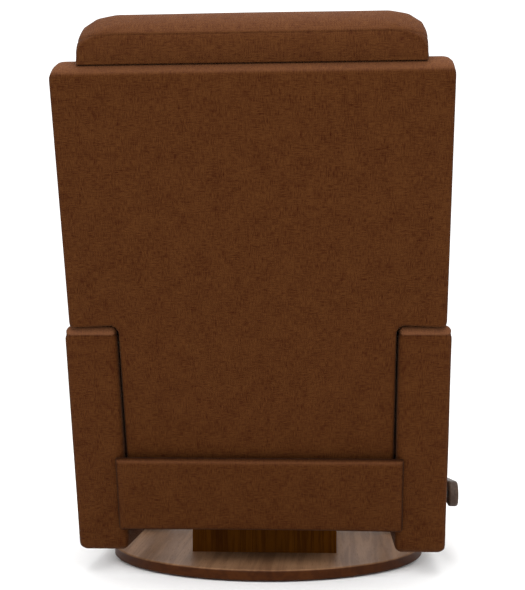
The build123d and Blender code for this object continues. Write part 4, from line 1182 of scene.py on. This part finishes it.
class RECLINER_OT_seat_deck(bpy.types.Operator):
    """Stretch the deck cloth over the seat springs"""

    bl_idname = "recliner.seat_deck"
    bl_label = "Seat deck"

    def execute(self, context):
        low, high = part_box("seat_deck")
        rows, ripples_across, ripple_rate = 60, 4, 14
        above_springs, ripple_height, edge_zone, thickness = 0.0018, 0.0008, 0.05, 0.0012
        clear_selection()
        bpy.ops.mesh.primitive_grid_add(x_subdivisions=rows, y_subdivisions=rows, size=1)
        obj = context.active_object
        obj.name = "deck_cloth"
        width, depth = high.x - low.x, high.y - low.y
        spots = points_of(obj)
        spots[:, 0] *= width
        spots[:, 1] = spots[:, 1] * depth + (high.y + low.y) / 2
        ripple = np.cos(spots[:, 0] / width * 2 * np.pi * ripples_across) * np.cos(spots[:, 1] * ripple_rate)
        from_ends = np.minimum(spots[:, 1] - low.y, high.y - spots[:, 1])
        from_edge = np.minimum(high.x - np.abs(spots[:, 0]), from_ends)
        spots[:, 2] = low.z + above_springs + ripple_height * ripple * np.clip(from_edge / edge_zone, 0, 1)
        set_points(obj, spots)
        wall = obj.modifiers.new("cloth", "SOLIDIFY")
        wall.thickness = thickness
        wall.offset = 0
        apply_modifier(obj, wall.name)
        lay_weave(obj)
        dress(obj, deck_finish(), "chair", "deck_cloth", "seat_deck")
        return {"FINISHED"}


def soft_light(name, place, aim, width, depth, power):
    data = bpy.data.lights.new(name, "AREA")
    data.shape = "RECTANGLE"
    data.size, data.size_y = width, depth
    data.energy = power
    lamp = bpy.data.objects.new(name, data)
    bpy.context.scene.collection.objects.link(lamp)
    lamp.location = place
    lamp.rotation_euler = (Vector(aim) - Vector(place)).to_track_quat("-Z", "Y").to_euler()


class RECLINER_OT_studio(bpy.types.Operator):
    """Lay the pale floor and set the lights and the camera"""

    bl_idname = "recliner.studio"
    bl_label = "Studio"

    def execute(self, context):
        chosen = studio()
        self.lay_floor(context)
        soft_light(
            "overhead_light", place=(0.0, 0.55, 2.4), aim=(0.0, 0.40, 0.4), width=1.4, depth=1.4,
            power=chosen.overhead,
        )
        soft_light(
            "rear_light", place=(-0.4, 3.2, 2.5), aim=(0.0, 0.4, 0.4), width=2.2, depth=2.2, power=chosen.rear
        )
        for side, name in ((1, "left"), (-1, "right")):
            beside_pedestal, under_arm = 0.205 * side, 0.300 * side
            over_disc = (beside_pedestal, 0.05, 0.090)
            disc = (beside_pedestal, 0.05, 0.0)
            soft_light(f"base_light_{name}", over_disc, disc, width=0.10, depth=0.36, power=chosen.base)
            over_end = (under_arm, 0.08, 0.048)
            disc_end = (under_arm, 0.08, 0.0)
            soft_light(f"end_light_{name}", over_end, disc_end, width=0.06, depth=0.36, power=chosen.ends)
        context.scene.view_settings.view_transform = "Standard"
        world = context.scene.world or bpy.data.worlds.new("studio_world")
        context.scene.world = world
        world.use_nodes = True
        sky = world.node_tree.nodes["Background"]
        sky.inputs["Color"].default_value = (1.0, 1.0, 1.0, 1.0)
        sky.inputs["Strength"].default_value = chosen.sky
        data = bpy.data.cameras.new("photo_camera")
        data.lens = chosen.lens
        data.sensor_width = 36.0
        data.shift_x = chosen.aside
        data.shift_y = chosen.rise
        camera = bpy.data.objects.new("photo_camera", data)
        context.scene.collection.objects.link(camera)
        camera.location = chosen.eye
        camera.rotation_euler = (math.radians(90), 0, chosen.yaw)
        context.scene.camera = camera
        return {"FINISHED"}

    def lay_floor(self, context):
        clear_selection()
        bpy.ops.mesh.primitive_plane_add(size=40)
        floor = context.active_object
        floor.name = "studio_floor"
        made, tree, shader = start_material("pale_floor")
        place = tree.nodes.new("ShaderNodeTexCoord")
        speck = noise(tree, place.outputs["Object"], scale=60.0)
        pale = ramp_between(tree, speck, (0.95, 0.95, 0.95), (0.97, 0.97, 0.97))
        tree.links.new(pale, shader.inputs["Base Color"])
        shader.inputs["Roughness"].default_value = 0.8
        floor.data.materials.append(made)


STEPS = (
    RECLINER_OT_studio,
    RECLINER_OT_frame_finishes,
    RECLINER_OT_outside_back,
    RECLINER_OT_arm_covers,
    RECLINER_OT_valance,
    RECLINER_OT_seat_deck,
    RECLINER_OT_seat_cushion,
    RECLINER_OT_back_cushion,
    RECLINER_OT_head_pillow,
    RECLINER_OT_footrest_pad,
)


class RECLINER_PT_panel(bpy.types.Panel):
    """Steps and sizes of the recliner"""

    bl_idname = "RECLINER_PT_panel"
    bl_label = "Glider recliner"
    bl_space_type = "VIEW_3D"
    bl_region_type = "UI"
    bl_category = "Recliner"

    def draw(self, context):
        for step in STEPS:
            self.layout.operator(step.bl_idname)
        for group in (sizes(), colours(), studio()):
            for name in group.__annotations__:
                self.layout.prop(group, name)


CLASSES = (CoverSizes, FinishColours, StudioSettings, *STEPS, RECLINER_PT_panel)


def register():
    for item in CLASSES:
        bpy.utils.register_class(item)
    bpy.types.Scene.recliner_sizes = bpy.props.PointerProperty(type=CoverSizes)
    bpy.types.Scene.recliner_colours = bpy.props.PointerProperty(type=FinishColours)
    bpy.types.Scene.recliner_studio = bpy.props.PointerProperty(type=StudioSettings)


def unregister():
    del bpy.types.Scene.recliner_studio
    del bpy.types.Scene.recliner_colours
    del bpy.types.Scene.recliner_sizes
    for item in reversed(CLASSES):
        bpy.utils.unregister_class(item)


def main():
    register()
    bpy.ops.recliner.studio()
    bpy.ops.recliner.frame_finishes()
    bpy.ops.recliner.outside_back()
    bpy.ops.recliner.arm_covers()
    bpy.ops.recliner.valance()
    bpy.ops.recliner.seat_deck()
    bpy.ops.recliner.seat_cushion()
    bpy.ops.recliner.back_cushion()
    bpy.ops.recliner.head_pillow()
    bpy.ops.recliner.footrest_pad()


if __name__ == "__main__":
    main()
